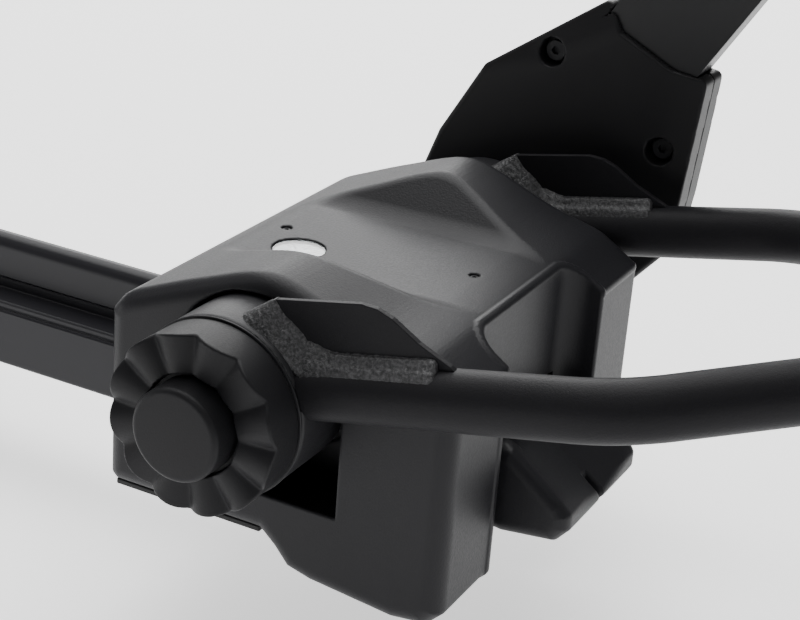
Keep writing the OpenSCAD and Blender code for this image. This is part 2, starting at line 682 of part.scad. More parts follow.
module release_button() color([0.55, 0.1, 0.08]) at_arm()
    box([house_x - 4, seam_y - 8 + run_gap, slider_at + 12 + run_gap],
        [pocket_x - 4 - run_gap, seam_y + 8 - run_gap, slider_at + 36 - run_gap]);
module slider_pawl() color([0.6, 0.6, 0.62]) at_arm() translate([pocket_x - 3.4, seam_y, pawl_z]) {
    rod_y(-4, 4, 2.4);
    rod_y(-8, 8, pawl_pin_r);
    slab_y(-3, 3) polygon([[-2, 0], [-1.6, -24], [2.6, -26], [1.6, -19], [2, 0]]);
}
module lock_cylinder() color([0.75, 0.75, 0.77]) at_arm() translate([4, 0, slider_at - 22]) difference() {
    rod_y(lock_y - 1, arm_y - slider_gap - 1.4, lock_r);
    box([-0.6, lock_y - 2, -3.5], [0.6, lock_y + 2, 3.5]);
}
// Hook: a bar from the slider over the wheel, with a downturned lip beyond the tyre
module hook() color([0.1, 0.1, 0.1]) at_arm() {
    x0 = arm_right + slider_wall + slider_gap;
    z0 = slider_at - 10;
    box([x0, arm_y - 4, slider_at - 34], [x0 + 8, arm_y + arm_t + 4, slider_at + 34]);
    box([x0, -hook_half, z0], [x0 + hook_bar, arm_y + arm_t + 4, z0 + hook_bar_t]);
    box([x0, -hook_half - 8, z0 - 34], [x0 + hook_bar, -hook_half, z0 + hook_bar_t]);
    box([x0, hook_half, z0 - 20], [x0 + hook_bar, hook_half + 7, z0]);
}
module hook_pad() color([0.04, 0.04, 0.04]) at_arm() difference() {
    x0 = arm_right + slider_wall + slider_gap;
    z0 = slider_at - 10;
    box([x0 - 6, -hook_half, z0 - 18], [x0 + hook_bar + 6, hook_half, z0]);
    translate([x0 - 7, 0, z0 - 44]) rotate([0, 90, 0]) cylinder(h = hook_bar + 14, r = 36);
}

// Rear wheel tray: a trough that slides on the rail, with slots for the strap
module rear_tray() color([0.09, 0.09, 0.09]) translate([-tray_at, 0, tray_z]) difference() {
    w = tray_w / 2;
    half = rail_w / 2;
    union() {
        slab_x(-tray_len / 2, tray_len / 2) polygon([[-w, 30], [-w, 14], [-upper_half - 6, slider_gap],
            [upper_half + 6, slider_gap], [w, 14], [w, 30], [w - tray_t, 30], [22, 2 * tray_t],
            [-22, 2 * tray_t], [tray_t - w, 30]]);
        both_sides() slab_x(-tray_len / 2, tray_len / 2) polygon([[upper_half + slider_gap, slider_gap],
            [upper_half + slider_gap, -groove_top - slider_gap], [neck_half + slider_gap, -groove_top - slider_gap],
            [neck_half + slider_gap, -groove_top - 3], [upper_half + 4, -groove_top - 3], [upper_half + 6, slider_gap + 1]]);
    }
    both_sides() box([-strap_w / 2 - seat_gap, strap_r - strap_t - seat_gap, strap_foot],
        [strap_w / 2 + seat_gap, strap_r + seat_gap, 40]);
}
// Ladder strap arched over the tray, its legs in the tray's slots
module rear_strap() color([0.06, 0.06, 0.06]) translate([-tray_at, 0, tray_z]) {
    r = strap_r;
    slab_x(-strap_w / 2, strap_w / 2) difference() {
        union() {
            translate([0, 26 + strap_leg]) circle(r = r);
            translate([-r, strap_foot]) square([2 * r, 26 + strap_leg - strap_foot]);
        }
        union() {
            translate([0, 26 + strap_leg]) circle(r = r - strap_t);
            translate([strap_t - r, 0]) square([2 * (r - strap_t), 26 + strap_leg]);
        }
    }
    for (a = [20:8:84]) translate([0, 0, 26 + strap_leg]) rotate([a, 0, 0])
        box([-strap_w / 2 + 3, r - 0.1, -1.6], [strap_w / 2 - 3, r + 1.4, 1.6]);
}
module buckle_base() color([0.1, 0.1, 0.1]) translate([-tray_at, 0, buckle_z]) difference() {
    w = tray_w / 2;
    union() {
        box([-17, w + seat_gap, -12], [17, w + 4, 36]);
        for (x = [-17, 13]) box([x, w + 4, 4], [x + 4, w + 16, 36]);
    }
    translate([-20, w + 10, 28]) rotate([0, 90, 0]) cylinder(h = 40, r = 2.5);
}
module buckle_pin() color([0.7, 0.7, 0.72]) translate([-tray_at - 17, tray_w / 2 + 10, buckle_z + 28])
    rotate([0, 90, 0]) cylinder(h = 34, r = 2.5);
module buckle_lever() color([0.08, 0.08, 0.08]) translate([-tray_at, tray_w / 2 + 10, buckle_z + 28]) difference() {
    union() {
        translate([-12.6, 0, 0]) rotate([0, 90, 0]) cylinder(h = 25.2, r = 5.5);
        slab_x(-12.6, 12.6) polygon([[-3, 0], [-3.5, -30], [6, -36], [8, -34], [5, -4], [5.5, 0]]);
    }
    translate([-20, 0, 0]) rotate([0, 90, 0]) cylinder(h = 40, r = 2.5 + fit_gap);
}

// Load bar clamp: a saddle under the rail, a jaw round the bar and a knob that draws the jaw up
module saddle() {
    h = clamp_y / 2;
    top = saddle_top;
    box([-30, -slot_mouth / 2 + slider_gap, top - 1], [30, slot_mouth / 2 - slider_gap, rail_z + slot_lip + 1]);
    box([-30, -slot_w / 2 + 1, rail_z + slot_lip + slider_gap], [30, slot_w / 2 - 1, rail_z + slot_lip + slot_h - 2]);
    difference() {
        box([-saddle_x, -h, pad_t], [saddle_x, h, top]);
        both_sides() for (s = [-1, 1]) box([s > 0 ? jaw_half - seat_gap : -jaw_half - jaw_t - seat_gap,
                h - jaw_w - 4 - seat_gap, -1],
            [s > 0 ? jaw_half + jaw_t + seat_gap : -jaw_half + seat_gap, h - 4 + seat_gap, top - 3]);
        translate([0, 0, knob_screw_z]) rotate([0, 90, 0]) cylinder(h = 400, r = 4 + fit_gap, center = true);
        box([-jaw_half + 4, -h + 8, -1], [jaw_half - 4, h - 8, pad_t + 1.5]);
    }
}
module saddle_pad() {
    h = clamp_y / 2;
    difference() {
        box([-jaw_half + 4 + seat_gap, -h + 8 + seat_gap, 0], [jaw_half - 4 - seat_gap, h - 8 - seat_gap, pad_t + 1.5]);
        for (x = [-28:8:28]) box([x - 1, -h, -1], [x + 1, h, 0.8]);
    }
}
module jaw() {
    h = clamp_y / 2;
    low = -bar_t - 1.5 - jaw_t;
    both_sides() {
        box([-jaw_half - jaw_t, h - jaw_w - 4, low], [jaw_half + jaw_t, h - 4, low + jaw_t]);
        for (s = [-1, 1]) box([s > 0 ? jaw_half : -jaw_half - jaw_t, h - jaw_w - 4, low],
            [s > 0 ? jaw_half + jaw_t : -jaw_half, h - 4, 14]);
    }
    box([-20, -h + 4, low], [20, h - 4, low + jaw_t]);
}
module clamp_knob() translate([-saddle_x - run_gap, 0, knob_screw_z]) rotate([0, -90, 0]) difference() {
    union() {
        cylinder(h = clamp_knob_t, r = clamp_knob_r - 3);
        for (a = [0:60:359]) rotate([0, 0, a]) translate([clamp_knob_r - 5, 0, 0]) cylinder(h = clamp_knob_t, r = 5);
    }
    translate([0, 0, -1]) cylinder(h = 9, r = 4);
}
module clamp_screw() translate([-saddle_x - run_gap - 8, 0, knob_screw_z]) rotate([0, 90, 0])
    cylinder(h = saddle_x + 28, r = 4);
module at_rear_clamp() translate([-bar_gap, 0, 0]) children();
module front_saddle() color([0.08, 0.08, 0.08]) saddle();
module front_saddle_pad() color([0.03, 0.03, 0.03]) saddle_pad();
module front_jaw() color([0.15, 0.15, 0.16]) jaw();
module front_clamp_knob() color([0.08, 0.08, 0.08]) clamp_knob();
module front_clamp_screw() color([0.7, 0.7, 0.72]) clamp_screw();
module rear_saddle() color([0.08, 0.08, 0.08]) at_rear_clamp() saddle();
module rear_saddle_pad() color([0.03, 0.03, 0.03]) at_rear_clamp() saddle_pad();
module rear_jaw() color([0.15, 0.15, 0.16]) at_rear_clamp() jaw();
module rear_clamp_knob() color([0.08, 0.08, 0.08]) at_rear_clamp() clamp_knob();
module rear_clamp_screw() color([0.7, 0.7, 0.72]) at_rear_clamp() clamp_screw();

rail();
rail_end_cap();
hub_frame();
hub_cover();
hub_base();
wheel_cradle();
window_lens();
cover_screws();
frame_bolts();
shaft_bushes();
detent_ring_fixed();
dial_bracket();
index_dial();
hoop_shaft();
index_drive_ring();
detent_ring_moving();
boss_near();
boss_far();
hoop_tube();
gusset_near();
gusset_far();
weld_near();
weld_far();
hoop_pad();
tie_bolt();
arm_spacer();
knob_body();
knob_cap();
knob_nut();
knob_washer();
arm_shell_front();
arm_shell_back();
arm_profile();
arm_rack();
arm_screws();
arm_bush();
arm_end_cap();
hook_slider();
hook();
hook_pad();
release_button();
slider_pawl();
lock_cylinder();
rear_tray();
rear_strap();
buckle_base();
buckle_lever();
buckle_pin();
front_saddle();
front_saddle_pad();
front_jaw();
front_clamp_knob();
front_clamp_screw();
rear_saddle();
rear_saddle_pad();
rear_jaw();
rear_clamp_knob();
rear_clamp_screw();
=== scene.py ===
"""Roof mounted bike carrier, dressed for a studio picture of its hub."""
import functools
import json
import math

import bpy
import numpy as np
from mathutils import Matrix, Vector


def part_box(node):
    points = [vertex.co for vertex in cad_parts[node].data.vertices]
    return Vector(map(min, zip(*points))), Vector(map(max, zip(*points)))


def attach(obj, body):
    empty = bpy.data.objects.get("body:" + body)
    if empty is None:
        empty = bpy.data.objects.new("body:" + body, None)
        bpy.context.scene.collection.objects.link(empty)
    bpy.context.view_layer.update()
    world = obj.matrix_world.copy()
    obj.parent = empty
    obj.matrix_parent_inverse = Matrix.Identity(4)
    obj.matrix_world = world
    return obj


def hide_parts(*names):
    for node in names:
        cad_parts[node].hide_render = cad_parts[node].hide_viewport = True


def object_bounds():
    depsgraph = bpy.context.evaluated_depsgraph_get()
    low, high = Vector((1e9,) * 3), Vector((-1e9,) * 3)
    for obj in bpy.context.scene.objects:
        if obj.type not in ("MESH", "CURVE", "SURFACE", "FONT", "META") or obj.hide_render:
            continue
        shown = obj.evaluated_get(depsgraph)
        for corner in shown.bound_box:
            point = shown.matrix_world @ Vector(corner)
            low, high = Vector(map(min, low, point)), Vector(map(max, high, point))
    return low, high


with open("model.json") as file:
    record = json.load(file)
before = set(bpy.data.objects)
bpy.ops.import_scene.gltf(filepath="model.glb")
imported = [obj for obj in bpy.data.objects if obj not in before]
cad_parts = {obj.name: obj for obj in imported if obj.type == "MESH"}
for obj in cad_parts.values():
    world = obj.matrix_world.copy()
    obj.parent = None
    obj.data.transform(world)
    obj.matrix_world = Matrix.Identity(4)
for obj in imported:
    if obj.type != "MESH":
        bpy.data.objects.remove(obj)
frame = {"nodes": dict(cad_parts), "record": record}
cad_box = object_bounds()
nodes = frame["nodes"]

# Frames in millimetres: the axle's, the hoop's and the hook arm's
SHAFT_BOX = [Vector(corner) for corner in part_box("hoop_shaft")]
AXLE = Matrix.Translation((SHAFT_BOX[0] + SHAFT_BOX[1]) / 2 * 1000)
HOOP_ANGLE = 12
ARM_ANGLE = 58.7
HOOP = AXLE @ Matrix.Rotation(math.radians(-HOOP_ANGLE), 4, "Y")
ARM = AXLE @ Matrix.Rotation(math.radians(90 - ARM_ANGLE), 4, "Y")


# Camera, lights and floor, in metres

# The camera was solved from the photograph
CAMERA_PLACE = (0.6912, -0.7086, 0.4438)
CAMERA_RIGHT = Vector((0.8799, 0.4698, 0.0718))
CAMERA_UP = Vector((-0.245, 0.3191, 0.9155))
CAMERA_AHEAD = Vector((-0.4072, 0.8231, -0.3959))
LENS, SENSOR_WIDTH = 85.13, 36
NEAREST = 0.05

# The spot that the lights are aimed at, then each light's name, place, size and power
LIT_SPOT = (0.34, 0, 0.11)
LIGHTS = (
    ("top_light", (0.0, 0.7, 2.2), (2.6, 2.0), 84),
    ("back_light", (-0.9, 2.4, 1.3), (2.4, 1.4), 62),
    ("side_light", (2.6, 0.3, 1.2), (1.6, 1.2), 4),
    ("left_light", (-1.7, -0.7, 1.7), (1.2, 1.0), 7),
    ("front_light", (0.5, -1.5, 2.3), (1.3, 0.9), 9),
)
ROOM_LIGHT = 0.11
FLOOR_REACH = 30
FLOOR_GAP = 0.0002


def set_camera():
    """The camera that the photograph was taken with."""
    data = bpy.data.cameras.new("camera")
    data.sensor_width = SENSOR_WIDTH
    data.lens = LENS
    data.clip_start = NEAREST
    cam = bpy.data.objects.new("camera", data)
    bpy.context.scene.collection.objects.link(cam)
    turn = Matrix((CAMERA_RIGHT, CAMERA_UP, -CAMERA_AHEAD)).transposed().to_4x4()
    cam.matrix_world = Matrix.Translation(CAMERA_PLACE) @ turn
    bpy.context.scene.camera = cam


def softbox(name, place, size, power):
    data = bpy.data.lights.new(name, "AREA")
    data.shape = "RECTANGLE"
    data.size, data.size_y = size
    data.energy = power
    lamp = bpy.data.objects.new(name, data)
    bpy.context.scene.collection.objects.link(lamp)
    lamp.location = place
    lamp.rotation_euler = (Vector(LIT_SPOT) - Vector(place)).to_track_quat("-Z", "Y").to_euler()


def set_lights():
    world = bpy.data.worlds.new("studio")
    world.use_nodes = True
    background = world.node_tree.nodes["Background"]
    background.inputs["Color"].default_value = (1, 1, 1, 1)
    background.inputs["Strength"].default_value = ROOM_LIGHT
    bpy.context.scene.world = world
    for light in LIGHTS:
        softbox(*light)


def set_floor():
    """White paper just under the part, with a glow that keeps it pale."""
    mesh = bpy.data.meshes.new("floor")
    z = float(cad_box[0][2]) - FLOOR_GAP
    corners = ((-1, -1), (1, -1), (1, 1), (-1, 1))
    mesh.from_pydata([(x * FLOOR_REACH, y * FLOOR_REACH, z) for x, y in corners], [], [(0, 1, 2, 3)])
    floor = bpy.data.objects.new("floor", mesh)
    bpy.context.scene.collection.objects.link(floor)
    paper = Finish("floor_paper", (0.9, 0.9, 0.9), 0.9)
    paper.shader.inputs["Specular IOR Level"].default_value = 0.0
    paper.shader.inputs["Emission Color"].default_value = (1, 1, 1, 1)
    paper.shader.inputs["Emission Strength"].default_value = 1.0
    mesh.materials.append(paper.material)


# Materials: a socket that takes Python's arithmetic, and a finish built from it

class Value:
    """A number that varies over a surface; arithmetic on it adds Math nodes."""

    def __init__(self, finish, socket):
        self.finish, self.socket = finish, socket

    def maths(self, operation, other):
        return self.finish.node("ShaderNodeMath", {"operation": operation}, {0: self, 1: other})

    def __add__(self, other):
        return self.maths("ADD", other)

    def __mul__(self, other):
        return self.maths("MULTIPLY", other)

    def over(self, low, high):
        """0 below low, 1 above high, smooth between."""
        return self.finish.node("ShaderNodeMapRange", {"interpolation_type": "SMOOTHSTEP"},
                                {"Value": self, "From Min": low, "From Max": high})

    __radd__ = __add__
    __rmul__ = __mul__


class Finish:
    """One material; sizes in its patterns are in millimetres."""

    def __init__(self, name, colour, roughness, **steady):
        self.material = bpy.data.materials.new(name)
        self.material.use_nodes = True
        self.tree = self.material.node_tree
        self.shader = self.tree.nodes["Principled BSDF"]
        self.material.diffuse_color = (*colour[:3], 1)
        self.shader.inputs["Base Color"].default_value = (*colour[:3], 1)
        self.shader.inputs["Roughness"].default_value = roughness
        for key, value in steady.items():
            self.shader.inputs[key.replace("_", " ")].default_value = value
        self.place = None

    def node(self, kind, settings, inputs, output=0):
        made = self.tree.nodes.new(kind)
        for key, value in settings.items():
            setattr(made, key, value)
        for key, value in inputs.items():
            if isinstance(value, Value):
                self.tree.links.new(value.socket, made.inputs[key])
            else:
                made.inputs[key].default_value = value
        return Value(self, made.outputs[output])

    def spot(self):
        """The place on the piece, in metres."""
        if self.place is None:
            self.place = self.node("ShaderNodeTexCoord", {}, {}, "Object")
        return self.place

    def noise(self, size, detail=2, rough=0.5, stretch=None):
        where = self.spot()
        if stretch:
            where = self.node("ShaderNodeMapping", {}, {"Vector": where, "Scale": stretch})
        return self.node("ShaderNodeTexNoise", {},
                         {"Vector": where, "Scale": 1000 / size, "Detail": detail, "Roughness": rough})

    def cells(self, size):
        return self.node("ShaderNodeTexVoronoi", {"feature": "SMOOTH_F1"},
                         {"Vector": self.spot(), "Scale": 1000 / size})

    def mix(self, amount, a, b):
        """From colour a to colour b as the amount goes from 0 to 1."""
        made = self.tree.nodes.new("ShaderNodeMix")
        made.data_type = "RGBA"
        for socket, value in ((made.inputs[0], amount), (made.inputs[6], a), (made.inputs[7], b)):
            if isinstance(value, Value):
                self.tree.links.new(value.socket, socket)
            else:
                socket.default_value = value if isinstance(value, float) else (*value[:3], 1)
        return Value(self, made.outputs[2])

    def colour(self, value):
        self.tree.links.new(value.socket, self.shader.inputs["Base Color"])

    def rough(self, value):
        self.tree.links.new(value.socket, self.shader.inputs["Roughness"])

    def bump(self, height, depth):
        """depth in millimetres for a height of 1."""
        out = self.node("ShaderNodeBump", {}, {"Height": height, "Distance": depth / 1000, "Strength": 1.0},
                        "Normal")
        self.tree.links.new(out.socket, self.shader.inputs["Normal"])


def scaled(colour, share):
    """The same colour, lighter or darker."""
    return [c * share for c in colour]


def grained(name, colour, roughness, grain=0.35, depth=0.035, spread=0.12, specular=0.5):
    """Moulded plastic with a fine even grain."""
    made = Finish(name, colour, roughness, Specular_IOR_Level=specular)
    grit = made.noise(grain, detail=1, rough=0.4)
    drift = made.noise(60)
    made.colour(made.mix(drift.over(0.35, 0.7), colour, scaled(colour, 1.18)))
    made.rough(grit * spread + (roughness - spread / 2))
    made.bump(grit, depth)
    return made.material


def powder_coat(name, colour, roughness, specular):
    """Textured powder coat: fine peaks on a slow orange peel."""
    made = Finish(name, colour, roughness, Specular_IOR_Level=specular)
    peaks = made.cells(0.75)
    peel = made.noise(2.4)
    grit = made.noise(0.4, detail=1)
    made.colour(made.mix(grit.over(0.5, 0.8), colour, scaled(colour, 1.35)))
    made.rough(grit * 0.22 + (roughness - 0.11))
    made.bump(peel * 0.45 + grit * 0.5 + peaks * 0.5, depth=0.13)
    return made.material


def weld_coat():
    """The same coat over rough welds, with a painted highlight that makes their lumps paler."""
    made = Finish("weld_coat", (0.05, 0.05, 0.05), 0.42, Specular_IOR_Level=0.5)
    lumps_and_highlights = made.noise(1.3, detail=4, rough=0.65)
    grit = made.noise(0.4)
    # The paler colour on the lumps is a painted highlight where light would catch their tops; the same noise
    # also gives the real bumps
    made.colour(made.mix(lumps_and_highlights.over(0.35, 0.75), (0.013, 0.013, 0.014), (0.075, 0.075, 0.078)))
    made.rough(grit * 0.3 + 0.22)
    made.bump(lumps_and_highlights + grit * 0.35, depth=0.45)
    return made.material


def anodised():
    """Extruded aluminium, black, with faint drawing lines along it."""
    made = Finish("anodised", (0.014, 0.014, 0.015), 0.38, Specular_IOR_Level=0.25)
    lines = made.noise(0.6, stretch=(1, 1, 0.03))
    made.rough(lines * 0.16 + 0.3)
    made.bump(lines, depth=0.01)
    return made.material


def rail_coat():
    """A smooth black coat with a little orange peel."""
    made = Finish("rail_coat", (0.0165, 0.0163, 0.019), 0.34, Specular_IOR_Level=0.22)
    peel = made.noise(1.6)
    grit = made.noise(0.4, detail=1)
    made.rough(grit * 0.16 + 0.28)
    made.bump(peel * 0.6 + grit * 0.3, depth=0.035)
    return made.material


def bare_metal(name, colour, roughness):
    """Metal with fine scratches one way and dull patches."""
    made = Finish(name, colour, roughness, Metallic=1.0)
    scratches = made.noise(0.7, detail=3, rough=0.6, stretch=(0.08, 1, 1))
    patches = made.noise(9)
    made.colour(made.mix(patches.over(0.4, 0.7), colour, scaled(colour, 0.82)))
    made.rough(scratches * 0.25 + (roughness - 0.1))
    made.bump(scratches, depth=0.01)
    return made.material


def rubber():
    """Matt rubber with a little dust."""
    made = Finish("pad_rubber", (0.012, 0.012, 0.012), 0.75, Specular_IOR_Level=0.35)
    grit = made.noise(0.6)
    dust = made.noise(14, detail=3, rough=0.6)
    made.colour(made.mix(dust.over(0.5, 0.75), (0.011, 0.011, 0.011), (0.02, 0.02, 0.021)))
    made.rough(grit * 0.15 + 0.66)
    made.bump(grit, depth=0.05)
    return made.material


def clear_lens():
    made = Finish("lens", (0.93, 0.96, 0.97), 0.08, Transmission_Weight=1.0, IOR=1.46)
    haze = made.noise(12)
    made.rough(haze * 0.08 + 0.03)
    return made.material


FINISHES = {}


def set_finishes():
    FINISHES.update({
        "rail_coat": rail_coat(),
        "cover_plastic": grained("cover_plastic", (0.0096, 0.0095, 0.0112), 0.46,
                                 grain=0.9, depth=0.085, spread=0.16, specular=0.19),
        "base_plastic": grained("base_plastic", (0.012, 0.012, 0.012), 0.55,
                                grain=0.5, depth=0.03, specular=0.25),
        "hoop_coat": powder_coat("hoop_coat", (0.0112, 0.011, 0.0124), 0.46, specular=0.09),
        "boss_coat": powder_coat("boss_coat", (0.0125, 0.0124, 0.0142), 0.48, specular=0.28),
        "weld_coat": weld_coat(),
        "frame_metal": bare_metal("frame_metal", (0.3, 0.3, 0.31), 0.42),
        "bright_steel": bare_metal("bright_steel", (0.56, 0.56, 0.57), 0.3),
        "knob_plastic": grained("knob_plastic", (0.0095, 0.0094, 0.0106), 0.5,
                                grain=0.8, depth=0.055, spread=0.2, specular=0.15),
        "arm_plastic": grained("arm_plastic", (0.0102, 0.0101, 0.011), 0.42,
                               grain=0.6, specular=0.15),
        "arm_coat": anodised(),
        "pad_rubber": rubber(),
        "lens": clear_lens(),
        "dial_white": grained("dial_white", (0.84, 0.84, 0.83), 0.4, grain=0.3, depth=0.004),
        "bush_plastic": grained("bush_plastic", (0.7, 0.7, 0.66), 0.45, grain=0.4, depth=0.01),
        "nut_brass": bare_metal("nut_brass", (0.62, 0.45, 0.18), 0.3),
        "button_red": grained("button_red", (0.42, 0.015, 0.012), 0.4, grain=0.4, depth=0.01),
    })


# Shapes: about the distance to their surface in millimetres, less than 0 inside

def common(a, b, r):
    """Where both shapes are, its outer edges rounded to r."""
    u, v = np.maximum(a + r, 0), np.maximum(b + r, 0)
    return np.minimum(np.maximum(a, b), -r) + np.sqrt(u * u + v * v)


def joined(a, b, r):
    """Either shape, with a fillet of r where they meet."""
    return -common(-a, -b, r)


def cut(a, b, r):
    """The first shape without the second, its edges rounded to r."""
    return common(a, -b, r)


def sharp(*shapes):
    """Where all the shapes are, its edges left sharp."""
    return functools.reduce(np.maximum, shapes)


def bored(a, b):
    """The first shape without the second, its edges left sharp."""
    return np.maximum(a, -b)


def off_axis(across, beside):
    """Distance from an axis, from the distances along two directions square to it."""
    return np.sqrt(across * across + beside * beside)


def slab(value, lo, hi):
    """What lies between two values along one axis."""
    return abs(value - (lo + hi) / 2) - (hi - lo) / 2


def box_shape(x, y, z, lo, hi):
    return sharp(slab(x, lo[0], hi[0]), slab(y, lo[1], hi[1]), slab(z, lo[2], hi[2]))


def beyond(x, z, a, b):
    """Distance to the left of the line from a to b."""
    ex, ez = b[0] - a[0], b[1] - a[1]
    return (ex * (z - a[1]) - ez * (x - a[0])) / math.hypot(ex, ez)


def ramp(value, low, high):
    """0 below low, 1 above high, and a smooth rise between."""
    t = np.clip((value - low) / (high - low), 0, 1)
    return t * t * (3 - 2 * t)


def outline(points, x, z):
    """Signed distance to a closed outline in two axes."""
    tiny = 1e-12
    far = None
    inside = None
    n = len(points)
    for i in range(n):
        ax, az = points[i]
        bx, bz = points[(i + 1) % n]
        ex, ez = bx - ax, bz - az
        t = np.clip(((x - ax) * ex + (z - az) * ez) / (ex * ex + ez * ez), 0, 1)
        d = (x - ax - t * ex) ** 2 + (z - az - t * ez) ** 2
        far = d if far is None else np.minimum(far, d)
        crosses = ((az > z) != (bz > z)) & (x < (bx - ax) * (z - az) / (bz - az + tiny) + ax)
        inside = crosses if inside is None else inside ^ crosses
    return np.where(inside, -1, 1) * np.sqrt(far)


def drawn_in(points, r):
    """A closed outline moved inward by r, for corners that are rounded by adding r back."""
    p = np.array(points, float)
    area = np.sum(p[:, 0] * np.roll(p[:, 1], -1) - p[:, 1] * np.roll(p[:, 0], -1))
    edge = np.roll(p, -1, 0) - p
    edge /= np.linalg.norm(edge, axis=1)[:, None]
    inward = np.stack([-edge[:, 1], edge[:, 0]], 1) * (1 if area > 0 else -1)
    back = np.roll(inward, 1, 0)
    bisect = inward + back
    bisect *= r / (np.sum(bisect * inward, axis=1)[:, None])
    return p + bisect


def eased(points):
    """The same open line with each of its corners cut off at a quarter of the way."""
    line = [points[0]]
    for a, b in zip(points, points[1:]):
        line.append((0.75 * a[0] + 0.25 * b[0], 0.75 * a[1] + 0.25 * b[1]))
        line.append((0.25 * a[0] + 0.75 * b[0], 0.25 * a[1] + 0.75 * b[1]))
    return line + [points[-1]]


# Meshes of shapes


def steepest(shape, p, h=0.05):
    """A shape's value at points, and its gradient there brought to a length of 1."""
    value = shape(p[:, 0], p[:, 1], p[:, 2])
    ways = [h * along for along in np.eye(3)]
    slope = np.stack([shape(*(p + way).T) - shape(*(p - way).T) for way in ways], 1) / (2 * h)
    length = np.linalg.norm(slope, axis=1)[:, None]
    return value, slope / np.maximum(length, 1e-6)


def settled(shape, points, step, rounds):
    """The points brought onto the shape's surface, by a step at most each round."""
    for _ in range(rounds):
        value, slope = steepest(shape, points)
        points -= np.clip(value, -step, step)[:, None] * slope
    return points


def skin(shape, lo, hi, step):
    """Points and quads of a shape's surface, by surface nets settled onto it."""
    axes = [np.arange(lo[k], hi[k] + step, step, dtype=np.float32) for k in range(3)]
    size = [len(a) for a in axes]
    d = shape(axes[0][:, None, None], axes[1][None, :, None], axes[2][None, None, :])
    d = np.broadcast_to(d, size).astype(np.float32)
    inside = d < 0
    cells = [n - 1 for n in size]
    ids, places, quads = [], [], []
    for k in range(3):
        # The grid edges along one axis that the surface crosses, and where it crosses them
        a = [slice(None)] * 3
        b = [slice(None)] * 3
        a[k], b[k] = slice(0, -1), slice(1, None)
        da, db = d[tuple(a)], d[tuple(b)]
        at = np.nonzero(inside[tuple(a)] != inside[tuple(b)])
        t = da[at] / (da[at] - db[at])
        p = [axes[m][at[m]] for m in range(3)]
        p[k] = p[k] + t * step
        # A quad joins the four cells round each of them
        m, n = (k + 1) % 3, (k + 2) % 3
        ok = (at[m] > 0) & (at[n] > 0) & (at[m] < cells[m]) & (at[n] < cells[n])
        ring = []
        for dm, dn in ((0, 0), (-1, 0), (-1, -1), (0, -1)):
            c = [at[0].copy(), at[1].copy(), at[2].copy()]
            c[m] += dm
            c[n] += dn
            ring.append((c[0] * cells[1] + c[1]) * cells[2] + c[2])
        ring = [r[ok] for r in ring]
        flip = inside[tuple(a)][at][ok]
        quads.append(np.where(flip[:, None], np.stack(ring, 1), np.stack(ring[::-1], 1)))
        where = np.stack([q[ok] for q in p], 1)
        for r in ring:
            ids.append(r)
            places.append(where)
    # Each cell's point is the mean of the crossings on its edges
    ids, places, quads = np.concatenate(ids), np.concatenate(places), np.concatenate(quads)
    used, back = np.unique(ids, return_inverse=True)
    count = np.bincount(back)
    points = np.stack([np.bincount(back, places[:, k]) / count for k in range(3)], 1)
    faces = np.searchsorted(used, quads)
    return settled(shape, points, step, 3), faces


def thinned(points, faces, share):
    """The mesh with about that share of its faces."""
    mesh = bpy.data.meshes.new("thinning")
    mesh.from_pydata([tuple(p) for p in points], [], [tuple(int(i) for i in f) for f in faces])
    temp = bpy.data.objects.new("thinning", mesh)
    bpy.context.scene.collection.objects.link(temp)
    thin = temp.modifiers.new("thin", "DECIMATE")
    thin.ratio = share
    done = temp.evaluated_get(bpy.context.evaluated_depsgraph_get()).to_mesh()
    co = np.zeros(len(done.vertices) * 3)
    done.vertices.foreach_get("co", co)
    faces = [tuple(f.vertices) for f in done.polygons]
    bpy.data.objects.remove(temp)
    bpy.data.meshes.remove(mesh)
    return co.reshape(-1, 3), faces


def piece(name, points, faces, body, finish, to_part, stands_for=(), smooth=True, normals=None):
    """A mesh from points in millimetres in their own frame."""
    mesh = bpy.data.meshes.new(name)
    mesh.from_pydata([tuple(p) for p in points], [], [tuple(int(i) for i in f) for f in faces])
    mesh.transform(Matrix.Scale(0.001, 4) @ to_part)
    mesh.materials.append(FINISHES[finish])
    if smooth:
        mesh.shade_smooth()
    if normals is not None:
        turn = np.array(to_part.to_3x3())
        mesh.normals_split_custom_set_from_vertices([tuple(n) for n in normals @ turn.T])
    made = bpy.data.objects.new(name, mesh)
    bpy.context.scene.collection.objects.link(made)
    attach(made, body)
    if stands_for:
        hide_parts(*stands_for)
    return made


def moulded(name, shape, box, step, body, finish, stands_for, keep, to_part=AXLE):
    """A piece whose surface is a shape's; keep is the share of its mesh's faces that stay."""
    points, faces = skin(shape, *box, step * (1))
    points, faces = thinned(points, faces, keep)
    points = settled(shape, points, step, 2)
    normals = steepest(shape, points)[1]
    return piece(name, points, faces, body, finish, to_part, (stands_for,), normals=normals)


# Hub cover, from the axle: a shell with a valley on top and a notch for the wheel in front

COVER_BOX = ((-77, -102, -93), (95, 102, 50))
ROOF_LINE = [(-75, 14), (-69, 22), (-53, 28.8), (-39, 34.8), (-25, 40.2), (-13, 45.1), (-2, 48.3),
             (8, 48.1), (21, 43.7), (38, 36.9), (51, 32.4), (70, 28.2), (76, 25.7), (93, 15)]
UNDER_LINE = [(93, -82), (86, -89), (70, -91), (30, -87), (18, -84), (11, -76), (4, -70), (-71, -70)]
COVER_SIDE = [(-75, -66)] + eased(eased(ROOF_LINE)) + UNDER_LINE
SIDE_ROUND = 3
COVER_INSET = drawn_in(COVER_SIDE, SIDE_ROUND)
COVER_HALF, COVER_ROUND = 100, 9
WALL, HOLLOW_ROUND = 3.5, 5

